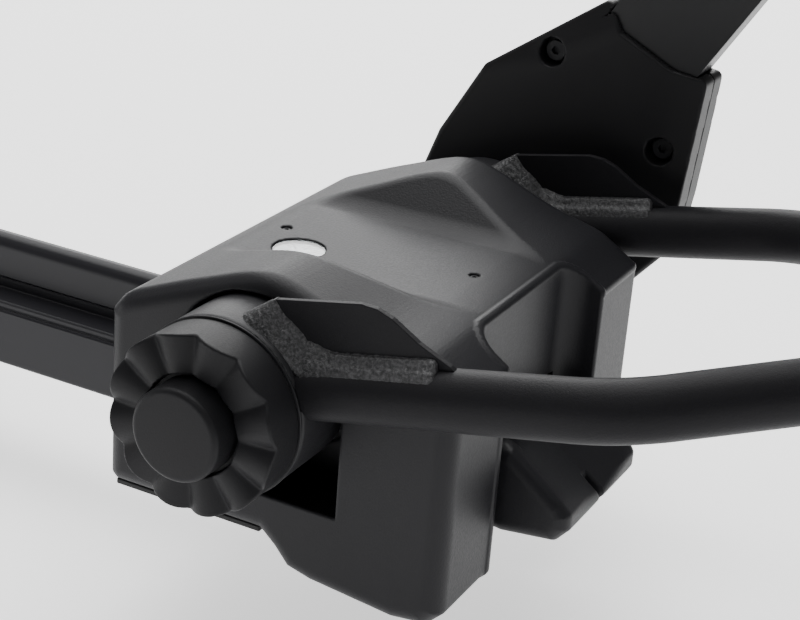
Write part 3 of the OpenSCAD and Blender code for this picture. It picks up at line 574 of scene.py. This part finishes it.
# The valley: a point on its floor, the floor's fall, and its sides
FLOOR_POINT = (-54, 28.3)
FLOOR_SLOPE = math.radians(0.6)
FLOOR_HEIGHT = FLOOR_POINT[1] - FLOOR_POINT[0] * math.tan(FLOOR_SLOPE)
VALLEY_HALF, VALLEY_FILLET = 41, 5
VALLEY_SIDE = math.radians(40.8)
RIDGE_ROUND = 2.4

# The notch with its raised rim, the pocket in each side and the arch over each boss
NOTCH_BACK, NOTCH_HALF, NOTCH_CORNER, NOTCH_EDGE = 76, 50, 12, 1.5
RIM_HIGH, RIM_WIDE, RIM_FILLET = 0.8, 3.6, 1.2
POCKET_X, POCKET_Z, POCKET_FLOOR = (4, 42), (-50, -4), 66
ARCH_R, ARCH_FLOOR = 40.3, 60
RECESS_EDGE = 1.2

# Openings: between the side skirts, round the rail, over the base, and the cradle's slot
SKIRT_BACK, SKIRT_TOP = 4, -70
RAIL_FRONT, RAIL_HALF, RAIL_TOP = -65, 22.3, -13.7
BASE_X, BASE_HALF, BASE_TOP = (-71.5, 4.5), COVER_HALF - WALL, -66
CRADLE_SLOT = ((66, -42, -71), (77, 42, -27))

# Holes in the valley's floor: where they are and their radius
WINDOW = (-28, -19, 12)
FLOOR_HOLES = (WINDOW, (-46, 0, 2.2), (51, 0, 2.2))
HOLE_REACH, HOLE_EDGE = 9, 0.8


def floor_frame(x, y, z, at_x, at_y):
    """Distance from an axis that stands on the valley floor, and height over the floor."""
    s, c = math.sin(FLOOR_SLOPE), math.cos(FLOOR_SLOPE)
    rise = z - FLOOR_HEIGHT - at_x * math.tan(FLOOR_SLOPE)
    return off_axis((x - at_x) * c + rise * s, y - at_y), rise * c - (x - at_x) * s


def cover_shape(x, y, z):
    w = abs(y)
    side = outline(COVER_INSET, x, z) - SIDE_ROUND
    lift = floor_frame(x, y, z, 0, 0)[1]
    facet = (w - VALLEY_HALF) * math.sin(VALLEY_SIDE) - lift * math.cos(VALLEY_SIDE)
    valley = common(facet, -lift, VALLEY_FILLET)
    notch = common(NOTCH_BACK - x, w - NOTCH_HALF, NOTCH_CORNER)
    pocket = sharp(slab(x, *POCKET_X), slab(z, *POCKET_Z), POCKET_FLOOR - w)
    arch = sharp(off_axis(x, z) - ARCH_R, ARCH_FLOOR - w)

    shell = cut(common(side, w - COVER_HALF, COVER_ROUND), valley, RIDGE_ROUND)
    rim = common(shell - RIM_HIGH, notch - RIM_WIDE, RIM_HIGH)
    shell = joined(shell, rim, RIM_FILLET)
    shell = cut(shell, notch, NOTCH_EDGE)
    shell = cut(shell, pocket, RECESS_EDGE)

    hollow = common(side + WALL, w - COVER_HALF + WALL, HOLLOW_ROUND)
    hollow = sharp(hollow, WALL - valley, WALL - notch, WALL - pocket)
    left_solid = sharp(SKIRT_BACK + 1 - x, w - NOTCH_HALF - WALL, z - SKIRT_TOP - WALL)
    shell = bored(shell, bored(hollow, left_solid))

    shell = cut(shell, arch, RECESS_EDGE)
    shell = bored(shell, sharp(SKIRT_BACK - x, w - NOTCH_HALF, z - SKIRT_TOP))
    shell = bored(shell, sharp(x - RAIL_FRONT, w - RAIL_HALF, z - RAIL_TOP))
    shell = bored(shell, sharp(slab(x, *BASE_X), w - BASE_HALF, z - BASE_TOP))
    shell = bored(shell, box_shape(x, y, z, *CRADLE_SLOT))
    for at_x, at_y, r in FLOOR_HOLES:
        out, lift = floor_frame(x, y, z, at_x, at_y)
        shell = cut(shell, sharp(out - r, abs(lift) - HOLE_REACH), HOLE_EDGE)
    return shell


def make_cover():
    moulded("hub_skin", cover_shape, COVER_BOX, 1.35, "root", "cover_plastic", "hub_cover", keep=0.35)


# Knob, from the axle: it faces the near side, where y falls

KNOB_BOX = ((-40.5, -154, -40.5), (40.5, -126, 40.5))
KNOB_BACK, KNOB_FRONT = -127.3, -148.3
KNOB_R, KNOB_TAPER, KNOB_EDGE = 38.8, 0.02, 0.8
LOBES, LOBE_R, LOBE_EDGE = 12, 12, 1.0
LOBE_FALL, LOBE_FALL_FROM = 0.06, 30
# How soft the crease between two lobes is
CREASE = 0.0008
SOCKET_R, SOCKET_DEPTH, SOCKET_EDGE = 21.9, 5, 0.7
KNOB_BORE_R = 10
BACK_GROOVE = (15, 34)
BACK_GROOVE_DEPTH = 4

CAP_BOX = ((-22, -161, -22), (22, -141, 22))
CAP_FRONT, CAP_BACK = -159.3, -142.4
CAP_R, CAP_ROUND, CAP_BACK_EDGE = 20.1, 2.4, 0.3
# The cap's face falls back by the square of the radius over this
CAP_BULGE = 1100


def knob_shape(x, y, z):
    """A round skirt whose front is a ring of lobes: each is the side of a rod that lies radially."""
    r = off_axis(x, z)
    body = common(r - KNOB_R + (y - KNOB_FRONT) * KNOB_TAPER, y - KNOB_BACK, KNOB_EDGE)
    turn = np.arctan2(z, x) * LOBES / (2 * math.pi)
    half = math.pi / LOBES
    fold = abs(turn - np.floor(turn) - 0.5) * 2 * half
    fold = half - np.sqrt((half - fold) ** 2 + CREASE)
    across = r * np.sin(np.maximum(fold, 0))
    deep = y - KNOB_FRONT - LOBE_R
    lobe = np.where(deep < 0, off_axis(across, deep), across) - LOBE_R
    body = common(body, lobe - LOBE_FALL * (r - LOBE_FALL_FROM), LOBE_EDGE)
    socket = sharp(r - SOCKET_R, y - KNOB_FRONT - SOCKET_DEPTH)
    body = cut(body, socket, SOCKET_EDGE)
    body = sharp(body, KNOB_BORE_R - r)
    groove = sharp(r - BACK_GROOVE[1], BACK_GROOVE[0] - r, KNOB_BACK - BACK_GROOVE_DEPTH - y)
    return bored(body, groove)


def cap_shape(x, y, z):
    """A round button with a slightly domed face."""
    r = off_axis(x, z)
    dome = CAP_FRONT + r * r / CAP_BULGE - y
    return common(common(r - CAP_R, dome, CAP_ROUND), y - CAP_BACK, CAP_BACK_EDGE)


def make_knob():
    moulded("knob_grip", knob_shape, KNOB_BOX, 0.8, "knob", "knob_plastic", "knob_body", keep=0.5)
    moulded("knob_button", cap_shape, CAP_BOX, 0.9, "knob", "knob_plastic", "knob_cap", keep=0.5)


# Hook arm's block, from the axle: two half shells that clasp the arm's profile

BLOCK_SIDE = [(-50, 0), (-46, -24), (-30, -40), (0, -48), (34, -42), (70, -20), (92, 6), (96, 34),
              (101.5, 97), (84, 99.5), (56, 113), (47.5, 127.5), (-15, 83), (-37.5, 43.5), (-44.5, 24)]
BLOCK_ROUND, BLOCK_EDGE, SEAM_EDGE = 4, 2.6, 0.7
BLOCK_INSET = drawn_in(BLOCK_SIDE, BLOCK_ROUND)
BLOCK_FRONT, BLOCK_SEAM, BLOCK_BACK = 135, 149, 163
BLOCK_WALL, FACE_WALL = 4.5, 3

# The face falls away along its upper left edge, and a little towards its front edge
UPPER_FOLD = ((-14.6, 80.6), (13.9, 88.8), (55.2, 113))
UPPER_FALL, UPPER_EDGE = math.radians(15), 1.2
FRONT_FOLD = ((79.6, 92.9), (83.2, 46.3))
FRONT_FALL, FRONT_EDGE = math.radians(6), 0.6

# The mouth that the profile leaves by is a stretch of the outline, and its lip falls back there
MOUTH = BLOCK_SIDE[8:12]
LIP_INSET, LIP_ALONG, LIP_ACROSS, LIP_EDGE = 1.2, 0.94, 0.342, 0.9

PIVOT_R, PIVOT_POST_R = 14, 18
SCREW_HOLES = ((20.7, 95.8), (82.2, 58))
SCREW_R, SCREW_POST_R = 2.6, 10
HEAD_R, HEAD_FLOOR, HEAD_EDGE = 7, 145, 0.9
ARM_SIN, ARM_COS = math.sin(math.radians(ARM_ANGLE)), math.cos(math.radians(ARM_ANGLE))
PROFILE_SHIFT, PROFILE_HALF, PROFILE_HALF_WIDTH = 4.5, 26.8, 10.3
PROFILE_START, PROFILE_EDGE = 61.7, 0.8


def block_outer(edge, out, top, x, z):
    """The outer faces of a half, from its distances inside the outline and behind its face."""
    d = common(edge, out, BLOCK_EDGE)
    d = common(d, top, UPPER_EDGE)
    right = out * math.cos(FRONT_FALL) + beyond(x, z, *FRONT_FOLD) * math.sin(FRONT_FALL)
    d = common(d, right, FRONT_EDGE)
    lip = beyond(x, z, MOUTH[1], MOUTH[0])
    for a, b in zip(MOUTH[1:], MOUTH[2:]):
        lip = np.minimum(lip, beyond(x, z, b, a))
    return common(d, (lip + LIP_INSET) * LIP_ALONG + out * LIP_ACROSS, LIP_EDGE)


def block_half(front):
    """A half's shape, and the box that it lies in."""
    y0, y1 = (BLOCK_FRONT, BLOCK_SEAM) if front else (BLOCK_SEAM, BLOCK_BACK)

    def shape(x, y, z):
        edge = outline(BLOCK_INSET, x, z) - BLOCK_ROUND
        out = (BLOCK_FRONT - y) if front else (y - BLOCK_BACK)
        seam = (y - BLOCK_SEAM) if front else (BLOCK_SEAM - y)
        above = np.minimum(beyond(x, z, *UPPER_FOLD[:2]), beyond(x, z, *UPPER_FOLD[1:]))
        top = out * math.cos(UPPER_FALL) + above * math.sin(UPPER_FALL)
        d = common(block_outer(edge, out, top, x, z), seam, SEAM_EDGE)

        room = sharp(edge + BLOCK_WALL, out + FACE_WALL, top + FACE_WALL)
        posts = off_axis(x, z) - PIVOT_POST_R
        for hx, hz in SCREW_HOLES:
            posts = np.minimum(posts, off_axis(x - hx, z - hz) - SCREW_POST_R)
        d = bored(d, bored(room, posts))
        n = x * ARM_SIN - z * ARM_COS
        u = x * ARM_COS + z * ARM_SIN
        profile = sharp(abs(n - PROFILE_SHIFT) - PROFILE_HALF, abs(y - BLOCK_SEAM) - PROFILE_HALF_WIDTH,
                        PROFILE_START - u)
        d = cut(d, profile, PROFILE_EDGE)
        d = bored(d, off_axis(x, z) - PIVOT_R)
        if front:
            for hx, hz in SCREW_HOLES:
                q = off_axis(x - hx, z - hz)
                d = cut(d, sharp(q - HEAD_R, y - HEAD_FLOOR), HEAD_EDGE)
                d = bored(d, q - SCREW_R)
        return d
    return shape, ((-52, y0 - 1, -50), (104, y1 + 1, 130))


def make_arm_block():
    for front, name, node in ((True, "arm_face", "arm_shell_front"), (False, "arm_back", "arm_shell_back")):
        shape, box = block_half(front)
        moulded(name, shape, box, 1.2, "arm", "arm_plastic", node, keep=0.4)


# Wheel cradle, from the axle: the lip under the notch

CRADLE_BOX = ((48, -44, -71), (125, 44, -25))
CRADLE_SIDE = [(50, -66), (50, -52), (70, -30), (80, -27), (94, -27), (119, -46), (123, -52), (123, -59),
               (117, -66), (92, -69), (66, -66)]
CRADLE_CORNER = 3
CRADLE_INSET = drawn_in(CRADLE_SIDE, CRADLE_CORNER)
CRADLE_HALF, CRADLE_ROUND = 41.7, 7

# The front face starts at the brow, falls by so much over so much, and lies back to the middle
BROW = (94, -27)
BROW_FALL, BROW_RUN, BROW_SLANT = 19, 25, 31.4
BROW_LEAN, BROW_LEAN_FROM, BROW_EDGE = 0.17, 42, 2.4
LIP_SLOT, LIP_SLOT_EDGE = ((113, -1.6, -75), (130, 1.8, -30)), 1.4
TROUGH_AXIS, TROUGH_R, TROUGH_HALF, TROUGH_EDGE = (82, -8), 24, 30, 3
CRADLE_HOLLOW, CRADLE_HOLLOW_EDGE = ((55, -28, -62), (76, 28, -20)), 1


def cradle_shape(x, y, z):
    w = abs(y)
    d = common(outline(CRADLE_INSET, x, z) - CRADLE_CORNER, w - CRADLE_HALF, CRADLE_ROUND)
    face = (BROW_FALL * (x - BROW[0]) + BROW_RUN * (z - BROW[1])) / BROW_SLANT
    d = common(d, face + (BROW_LEAN_FROM - w) * BROW_LEAN, BROW_EDGE)
    d = cut(d, box_shape(x, y, z, *LIP_SLOT), LIP_SLOT_EDGE)
    trough = sharp(off_axis(x - TROUGH_AXIS[0], z - TROUGH_AXIS[1]) - TROUGH_R, w - TROUGH_HALF)
    d = cut(d, trough, TROUGH_EDGE)
    return cut(d, box_shape(x, y, z, *CRADLE_HOLLOW), CRADLE_HOLLOW_EDGE)


def make_cradle():
    moulded("tyre_lip", cradle_shape, CRADLE_BOX, 1.2, "root", "cover_plastic", "wheel_cradle", keep=0.5)


# Hoop, in its own frame: a bent tube from one boss round to the other

TUBE_R, TUBE_Z, TUBE_SIDES = 12.5, 5.7, 48
HOOP_HALF = 113.5
STRAIGHT_X = range(20, 141, 20)
BEND_X, BEND, BEND_R = 170, 31, 70
THROAT_HALF, TAPER = 60, 8
NOSE_R = 46
ARC_STEP = 2.0


def arc(cx, cy, radius, h0, h1, side):
    """Points of an arc from heading h0 to heading h1, in degrees."""
    n = max(2, int(abs(h1 - h0) / ARC_STEP))
    turns = [math.radians(h0 + (h1 - h0) * i / n) for i in range(n + 1)]
    return [(cx + side * radius * math.sin(a), cy - side * radius * math.cos(a)) for a in turns]


def hoop_line():
    """The hoop's centre line, from the far boss to the near one, and where its nose's arc is centred."""
    bend, taper = math.radians(BEND), math.radians(TAPER)
    throat_x = BEND_X + (HOOP_HALF - THROAT_HALF) / math.tan(bend)
    touch = throat_x + (THROAT_HALF - NOSE_R * math.cos(taper)) / math.tan(taper)
    nose_x = touch - NOSE_R * math.sin(taper)
    first = BEND_R * math.tan(math.radians(BEND / 2))
    second = BEND_R * math.tan(math.radians((BEND - TAPER) / 2))
    second_x = throat_x - second * math.cos(bend) + BEND_R * math.sin(bend)
    second_y = THROAT_HALF + second * math.sin(bend) + BEND_R * math.cos(bend)
    path = [(x, HOOP_HALF) for x in STRAIGHT_X]
    path += arc(BEND_X - first, HOOP_HALF - BEND_R, BEND_R, 0, -BEND, -1)
    path += arc(second_x, second_y, BEND_R, -BEND, -TAPER, 1)
    path += arc(nose_x, 0, NOSE_R, -TAPER, -90, -1)
    path += [(x, -y) for x, y in reversed(path[:-1])]
    return [(x, y, TUBE_Z) for x, y in path], nose_x


NOSE_X = hoop_line()[1]


def tube_skin(path, radius, sides):
    """Points and quads of an open tube round a level path."""
    p = np.array(path, float)
    ahead = np.gradient(p, axis=0)
    ahead /= np.linalg.norm(ahead, axis=1)[:, None]
    up = np.array((0, 0, 1), float)
    beside = np.cross(ahead, up)
    beside /= np.linalg.norm(beside, axis=1)[:, None]
    points = []
    for i in range(len(p)):
        for k in range(sides):
            a = 2 * math.pi * k / sides
            points.append(p[i] + radius * math.cos(a) * beside[i] + radius * math.sin(a) * up)
    faces = []
    for i in range(len(p) - 1):
        for k in range(sides):
            after = (k + 1) % sides
            faces.append((i * sides + k, (i + 1) * sides + k, (i + 1) * sides + after, i * sides + after))
    return points, faces


def make_hoop():
    points, faces = tube_skin(hoop_line()[0], TUBE_R, TUBE_SIDES)
    piece("hoop_bar", points, faces, "hoop", "hoop_coat", HOOP, ("hoop_tube",))


# Welds, in the hoop's frame: one round the foot of each gusset

BOSS_R = 39
GUSSET_HALF, GUSSET_SKIN = 1.5, 0.4
WELD_ROOT = 4
WELD_REAR, WELD_END = 6, 99

# The gusset's rear edge: a point on it, its run, its rise and its length
GUSSET_POINT = (18, 33)
GUSSET_RUN, GUSSET_RISE, GUSSET_SLANT = 9, 10.4, 13.75

# How far the bead climbs the gusset, and more of it over the tube's start and over the boss
CLIMB, CLIMB_MORE = 5, 3.6
TUBE_START, BOSS_SIDE = (38, 52), (26, 31)
NEAR_SPREAD, FAR_SPREAD = 7.0, 4.4
BEAD_END, BEAD_END_EDGE, BEAD_HALF, BEAD_EDGE = 97, 2.5, 10.6, 1.2
BEAD_SINK, BEAD_BOTTOM = 1.2, 5

# The bead's surface: ridges along it over the tube, with waves and pits all over
RIDGE_HIGH, RIDGE_TURN, RIDGE_SHIFT, RIDGES_RISE = 0.4, 1.75, 0.4, (40, 55)
RIPPLE_HIGH, PIT_HIGH = 0.11, 0.06


def weld_shape(plate_y):
    """The bead round a gusset's foot: it climbs the plate and spreads over the boss and the tube."""
    def shape(x, y, z):
        boss = off_axis(x, z) - BOSS_R
        tube = off_axis(y - plate_y, z - TUBE_Z) - TUBE_R
        base = joined(boss, tube, WELD_ROOT)
        end = (GUSSET_RUN * (z - GUSSET_POINT[1]) - GUSSET_RISE * (x - GUSSET_POINT[0])) / GUSSET_SLANT
        face = abs(y - plate_y) - GUSSET_HALF
        plate = off_axis(np.maximum(face, 0), np.maximum(end, 0)) - GUSSET_SKIN
        climb = CLIMB + CLIMB_MORE * (1 - ramp(x, *TUBE_START)) + CLIMB_MORE * (1 - ramp(x, *BOSS_SIDE))
        spread = np.where(y < plate_y, NEAR_SPREAD, FAR_SPREAD)
        bead = (base / climb + plate / spread - 1) / np.sqrt(1 / climb ** 2 + 1 / spread ** 2)
        ridges = RIDGE_HIGH * np.cos(plate * RIDGE_TURN + RIDGE_SHIFT) * ramp(x, *RIDGES_RISE)
        ripple = RIPPLE_HIGH * np.sin(1.9 * x + 1.1 * y + 0.7 * z) * np.sin(1.6 * z - 1.3 * y + 0.5 * x)
        pits = PIT_HIGH * np.sin(3.1 * x - 2.3 * z) * np.sin(2.9 * y + 2.2 * z + x)
        bead = bead + ridges + ripple + pits
        bead = common(bead, x - BEAD_END, BEAD_END_EDGE)
        bead = common(bead, abs(y - plate_y) - BEAD_HALF, BEAD_EDGE)
        # It reaches a little below the surfaces that it lies on, and stops above the tube's middle
        return sharp(bead, -base - BEAD_SINK, -(z - BEAD_BOTTOM))
    return shape


def make_welds():
    for name, plate_y, node in (("near_bead", -HOOP_HALF, "weld_near"), ("far_bead", HOOP_HALF, "weld_far")):
        box = ((WELD_REAR, plate_y - 12, 8), (WELD_END, plate_y + 8, 50))
        moulded(name, weld_shape(plate_y), box, 0.8, "hoop", "weld_coat", node, keep=0.6, to_part=HOOP)


# Sleeve and tyre block on the hoop's nose, in the hoop's frame

SLEEVE_R, SLEEVE_HALF_TURN, SLEEVE_BORE_R, SLEEVE_EDGE = 16.2, 61.5, 12.6, 1.5
RIB_HIGH, RIB_PITCH, RIB_FLOOR = 0.8, 6, -0.4
PER_DEGREE_AT_NOSE = 0.8
TYRE_BLOCK_SIDE = [(-12, -15), (16, -15), (18, 10), (8, 30), (-4, 30), (-14, 14)]
TYRE_BLOCK_HALF, TYRE_BLOCK_LESS, TYRE_BLOCK_EDGE, TYRE_BLOCK_FILLET = 25.7, 0.3, 3, 2.5
TREAD_PITCH, TREAD_START, TREAD_FROM = 6.5, 39, 11
TREAD_HALF, TREAD_LESS, TREAD_DEPTH = 1.6, 0.6, 1.3


def hoop_pad_shape(x, y, z):
    """A ribbed sleeve round the front of the hoop, with a low block that the tyre meets."""
    out = off_axis(x - NOSE_X, y)
    ring = off_axis(out - NOSE_R, z - TUBE_Z)
    along = np.degrees(np.arctan2(y, x - NOSE_X))
    ribs = RIB_HIGH * np.maximum(np.cos(np.radians(along) * NOSE_R * 2 * math.pi / RIB_PITCH), RIB_FLOOR)
    ends = (abs(along) - SLEEVE_HALF_TURN) * PER_DEGREE_AT_NOSE
    sleeve = common(ring - SLEEVE_R - ribs, ends, SLEEVE_EDGE)
    side = outline(TYRE_BLOCK_SIDE, x - NOSE_X - NOSE_R, z - TUBE_Z)
    block = common(side + TYRE_BLOCK_LESS, abs(y) - TYRE_BLOCK_HALF, TYRE_BLOCK_EDGE)
    beside = abs((y + TREAD_START) % TREAD_PITCH - TREAD_PITCH / 2)
    grooves = sharp(TREAD_HALF - beside - TREAD_LESS, TREAD_FROM - (z - TUBE_Z))
    block = np.maximum(block, np.minimum(grooves, block + TREAD_DEPTH))
    return sharp(joined(sleeve, block, TYRE_BLOCK_FILLET), SLEEVE_BORE_R - ring)


# Pad under the hook, in the arm's frame

HOOK_PAD_BOX = ((29.35, -30, 457), (63.35, 30, 475))
HOOK_PAD_EDGE, HOOK_PAD_SIDE_EDGE = 2, 2.5
TYRE_AXIS_Z, TYRE_R = 431, 36
PAD_GROOVE_PITCH, PAD_GROOVE_START, PAD_GROOVE_HALF = 7, 60, 1.1
PAD_GROOVE_FLOOR = 37.4


def hook_pad_shape(x, y, z):
    """A saddle of rubber under the hook, hollowed to the tyre and grooved across."""
    tyre = off_axis(y, z - TYRE_AXIS_Z)
    d = common(box_shape(x, y, z, *HOOK_PAD_BOX), -(tyre - TYRE_R), HOOK_PAD_EDGE)
    d = common(d, slab(x, HOOK_PAD_BOX[0][0], HOOK_PAD_BOX[1][0]), HOOK_PAD_SIDE_EDGE)
    turn = np.arctan2(y, z - TYRE_AXIS_Z) * TYRE_R
    beside = abs((turn + PAD_GROOVE_START) % PAD_GROOVE_PITCH - PAD_GROOVE_PITCH / 2)
    tread = sharp(PAD_GROOVE_HALF - beside, tyre - PAD_GROOVE_FLOOR)
    return np.maximum(d, np.minimum(tread, 1.1))


# Pad of a load bar clamp, from the middle of its underside

BAR_PAD_HALF = (37.2, 40.7, 1.75)
BAR_PAD_CORNER, BAR_PAD_EDGE = 3, 0.5
BAR_GROOVE_DEPTH, BAR_GROOVES_START = 0.9, 40
# Pitch and half width of the grooves across the pad and of those along it
BAR_GROOVES_ACROSS, BAR_GROOVES_ALONG = (8, 1), (16, 0.8)


def saddle_pad_shape(x, y, z):
    """The pad of a load bar clamp, its underside cut with grooves both ways."""
    long, wide, thick = BAR_PAD_HALF
    d = common(abs(x) - long, abs(y) - wide, BAR_PAD_CORNER)
    d = common(d, abs(z - thick) - thick, BAR_PAD_EDGE)
    grooves = []
    for value, (pitch, half) in ((x, BAR_GROOVES_ACROSS), (y, BAR_GROOVES_ALONG)):
        grooves.append(half - abs((value + BAR_GROOVES_START) % pitch - pitch / 2))
    return np.maximum(d, np.minimum(sharp(*grooves), BAR_GROOVE_DEPTH - z))


# Ladder strap of the rear tray, from the middle of the tray

BOW_Z, BOW_R, STRAP_HALF_THICK, STRAP_HALF = 60, 39.7, 1.3, 12
STRAP_FOOT = 20
BAND_EDGE, FOOT_EDGE, RUNG_FILLET = 0.9, 0.8, 0.6
PER_DEGREE = 0.7
RUNG_PITCH, RUNG_HALF, RUNG_HALF_WIDTH, RUNG_HIGH = 8, 1.1, 8.5, 2.6
RUNG_TURNS = (18, 92)
SLOT_HALF, SLOT_HALF_WIDTH = 0.9, 6
SLOT_TURNS = (98, 172)


def strap_shape(x, y, z):
    """A flat band over the tray, with rungs on one side of its bow and slots in the other."""
    top = z - BOW_Z
    bow = np.where(top > 0, off_axis(y, top), abs(y)) - BOW_R
    band = common(abs(bow) - STRAP_HALF_THICK, abs(x) - STRAP_HALF, BAND_EDGE)
    band = common(band, STRAP_FOOT - z, FOOT_EDGE)
    turn = np.degrees(np.arctan2(top, y))
    to_rung = abs(turn % RUNG_PITCH - RUNG_PITCH / 2) * PER_DEGREE
    rung = sharp(to_rung - RUNG_HALF, abs(x) - RUNG_HALF_WIDTH, bow - RUNG_HIGH, -bow)
    rung = sharp(rung, sharp(RUNG_TURNS[0] - turn, turn - RUNG_TURNS[1]) * PER_DEGREE)
    to_slot = abs((turn + RUNG_PITCH / 2) % RUNG_PITCH - RUNG_PITCH / 2) * PER_DEGREE
    slots = sharp(to_slot - SLOT_HALF, abs(x) - SLOT_HALF_WIDTH)
    slots = sharp(slots, sharp(SLOT_TURNS[0] - turn, turn - SLOT_TURNS[1]) * PER_DEGREE)
    return bored(joined(band, rung, RUNG_FILLET), slots)


# Where these parts are, in the part's own frame: the front load bar lies under its origin
BAR_SPACING, TRAY_AT, TRAY_Z = 700, 840, 86
BAR_PADS = (("front_bar_pad", "root", "front_saddle_pad", 0),
            ("rear_bar_pad", "rear_clamp", "rear_saddle_pad", -BAR_SPACING))
STRAP_PLACE = Matrix.Translation((-TRAY_AT, 0, TRAY_Z))


def make_rubber():
    box = ((NOSE_X - 4, -60, -14), (NOSE_X + 66, 60, 38))
    moulded("hoop_sleeve", hoop_pad_shape, box, 1.3, "hoop", "pad_rubber", "hoop_pad", keep=0.5, to_part=HOOP)
    box = ((28, -31, 455), (65, 31, 476))
    moulded("hook_saddle", hook_pad_shape, box, 1.1, "slider", "pad_rubber", "hook_pad", keep=0.6,
            to_part=ARM)
    box = ((-38, -42, -1), (38, 42, 4.5))
    for name, body, node, x in BAR_PADS:
        moulded(name, saddle_pad_shape, box, 1.0, body, "pad_rubber", node, keep=0.5,
                to_part=Matrix.Translation((x, 0, 0)))
    box = ((-13, -43, 18), (13, 43, 104))
    moulded("ladder_strap", strap_shape, box, 0.9, "tray", "pad_rubber", "rear_strap", keep=0.5,
            to_part=STRAP_PLACE)


# Marks on the index dial, from the middle of the window

TICKS = 24
TICK_END = 10.5
LONG_TICK, SHORT_TICK = (4.5, 0.45), (6.5, 0.25)
TICK_BOTTOM, TICK_TOP = -3.89, -3.8


def make_ticks():
    """Printed lines on the dial that show the wheel size through the window; each third one is long."""
    window_z = FLOOR_HEIGHT + WINDOW[0] * math.tan(FLOOR_SLOPE)
    dial = AXLE @ Matrix.Translation((WINDOW[0], WINDOW[1], window_z))
    points, faces = [], []
    for i in range(TICKS):
        a = math.radians(360 / TICKS * i)
        inner, half = SHORT_TICK if i % 3 else LONG_TICK
        out, side = np.array((math.cos(a), math.sin(a), 0)), np.array((-math.sin(a), math.cos(a), 0))
        first = len(points)
        for z in (TICK_BOTTOM, TICK_TOP):
            for r, t in ((inner, -half), (TICK_END, -half), (TICK_END, half), (inner, half)):
                points.append(out * r + side * t + np.array((0, 0, z)))
        faces += [(first + 3, first + 2, first + 1, first), (first + 4, first + 5, first + 6, first + 7)]
        for k in range(4):
            after = (k + 1) % 4
            faces.append((first + k, first + after, first + 4 + after, first + 4 + k))
    piece("dial_marks", points, faces, "dial", "base_plastic", dial, smooth=False)


# CAD nodes that keep their shape: merged corners, rounded edges, their own finish

# Widths of the rounded edges in millimetres, where they aren't the plain one
PLAIN_EDGE = 0.3
EDGES = {"rail": 0.9, "boss_near": 1.2, "boss_far": 1.2, "gusset_near": 0.8, "gusset_far": 0.8,
         "arm_profile": 4.5, "hook": 2.5, "hook_slider": 1.5, "front_jaw": 1.0, "rear_jaw": 1.0,
         "front_saddle": 1.5, "rear_saddle": 1.5, "rear_tray": 1.2, "rail_end_cap": 1.2,
         "arm_end_cap": 1.2, "buckle_base": 0.8, "buckle_lever": 0.8, "front_clamp_knob": 1.0,
         "rear_clamp_knob": 1.0, "release_button": 0.8, "hub_base": 0.8, "hub_frame": 0.5}
SMOOTH_FROM = 0.7
CREASE_ANGLE = math.radians(32)
MERGE_WITHIN = 0.00001


def dress_nodes():
    slots = {s["node"]: s["material_slot"] for s in frame["record"]["subparts"]}
    for name, thing in nodes.items():
        mesh = thing.data
        mesh.materials.clear()
        mesh.materials.append(FINISHES[slots[name]])
        weld = thing.modifiers.new("weld", "WELD")
        weld.merge_threshold = MERGE_WITHIN
        width = EDGES.get(name, PLAIN_EDGE)
        bevel = thing.modifiers.new("edges", "BEVEL")
        bevel.width = width / 1000
        bevel.segments = 3 if width > SMOOTH_FROM else 2
        bevel.limit_method = "ANGLE"
        bevel.angle_limit = CREASE_ANGLE
        bevel.harden_normals = True


set_camera()
set_finishes()
set_lights()
set_floor()
dress_nodes()
make_cover()
make_knob()
make_arm_block()
make_cradle()
make_hoop()
make_welds()
make_rubber()
make_ticks()
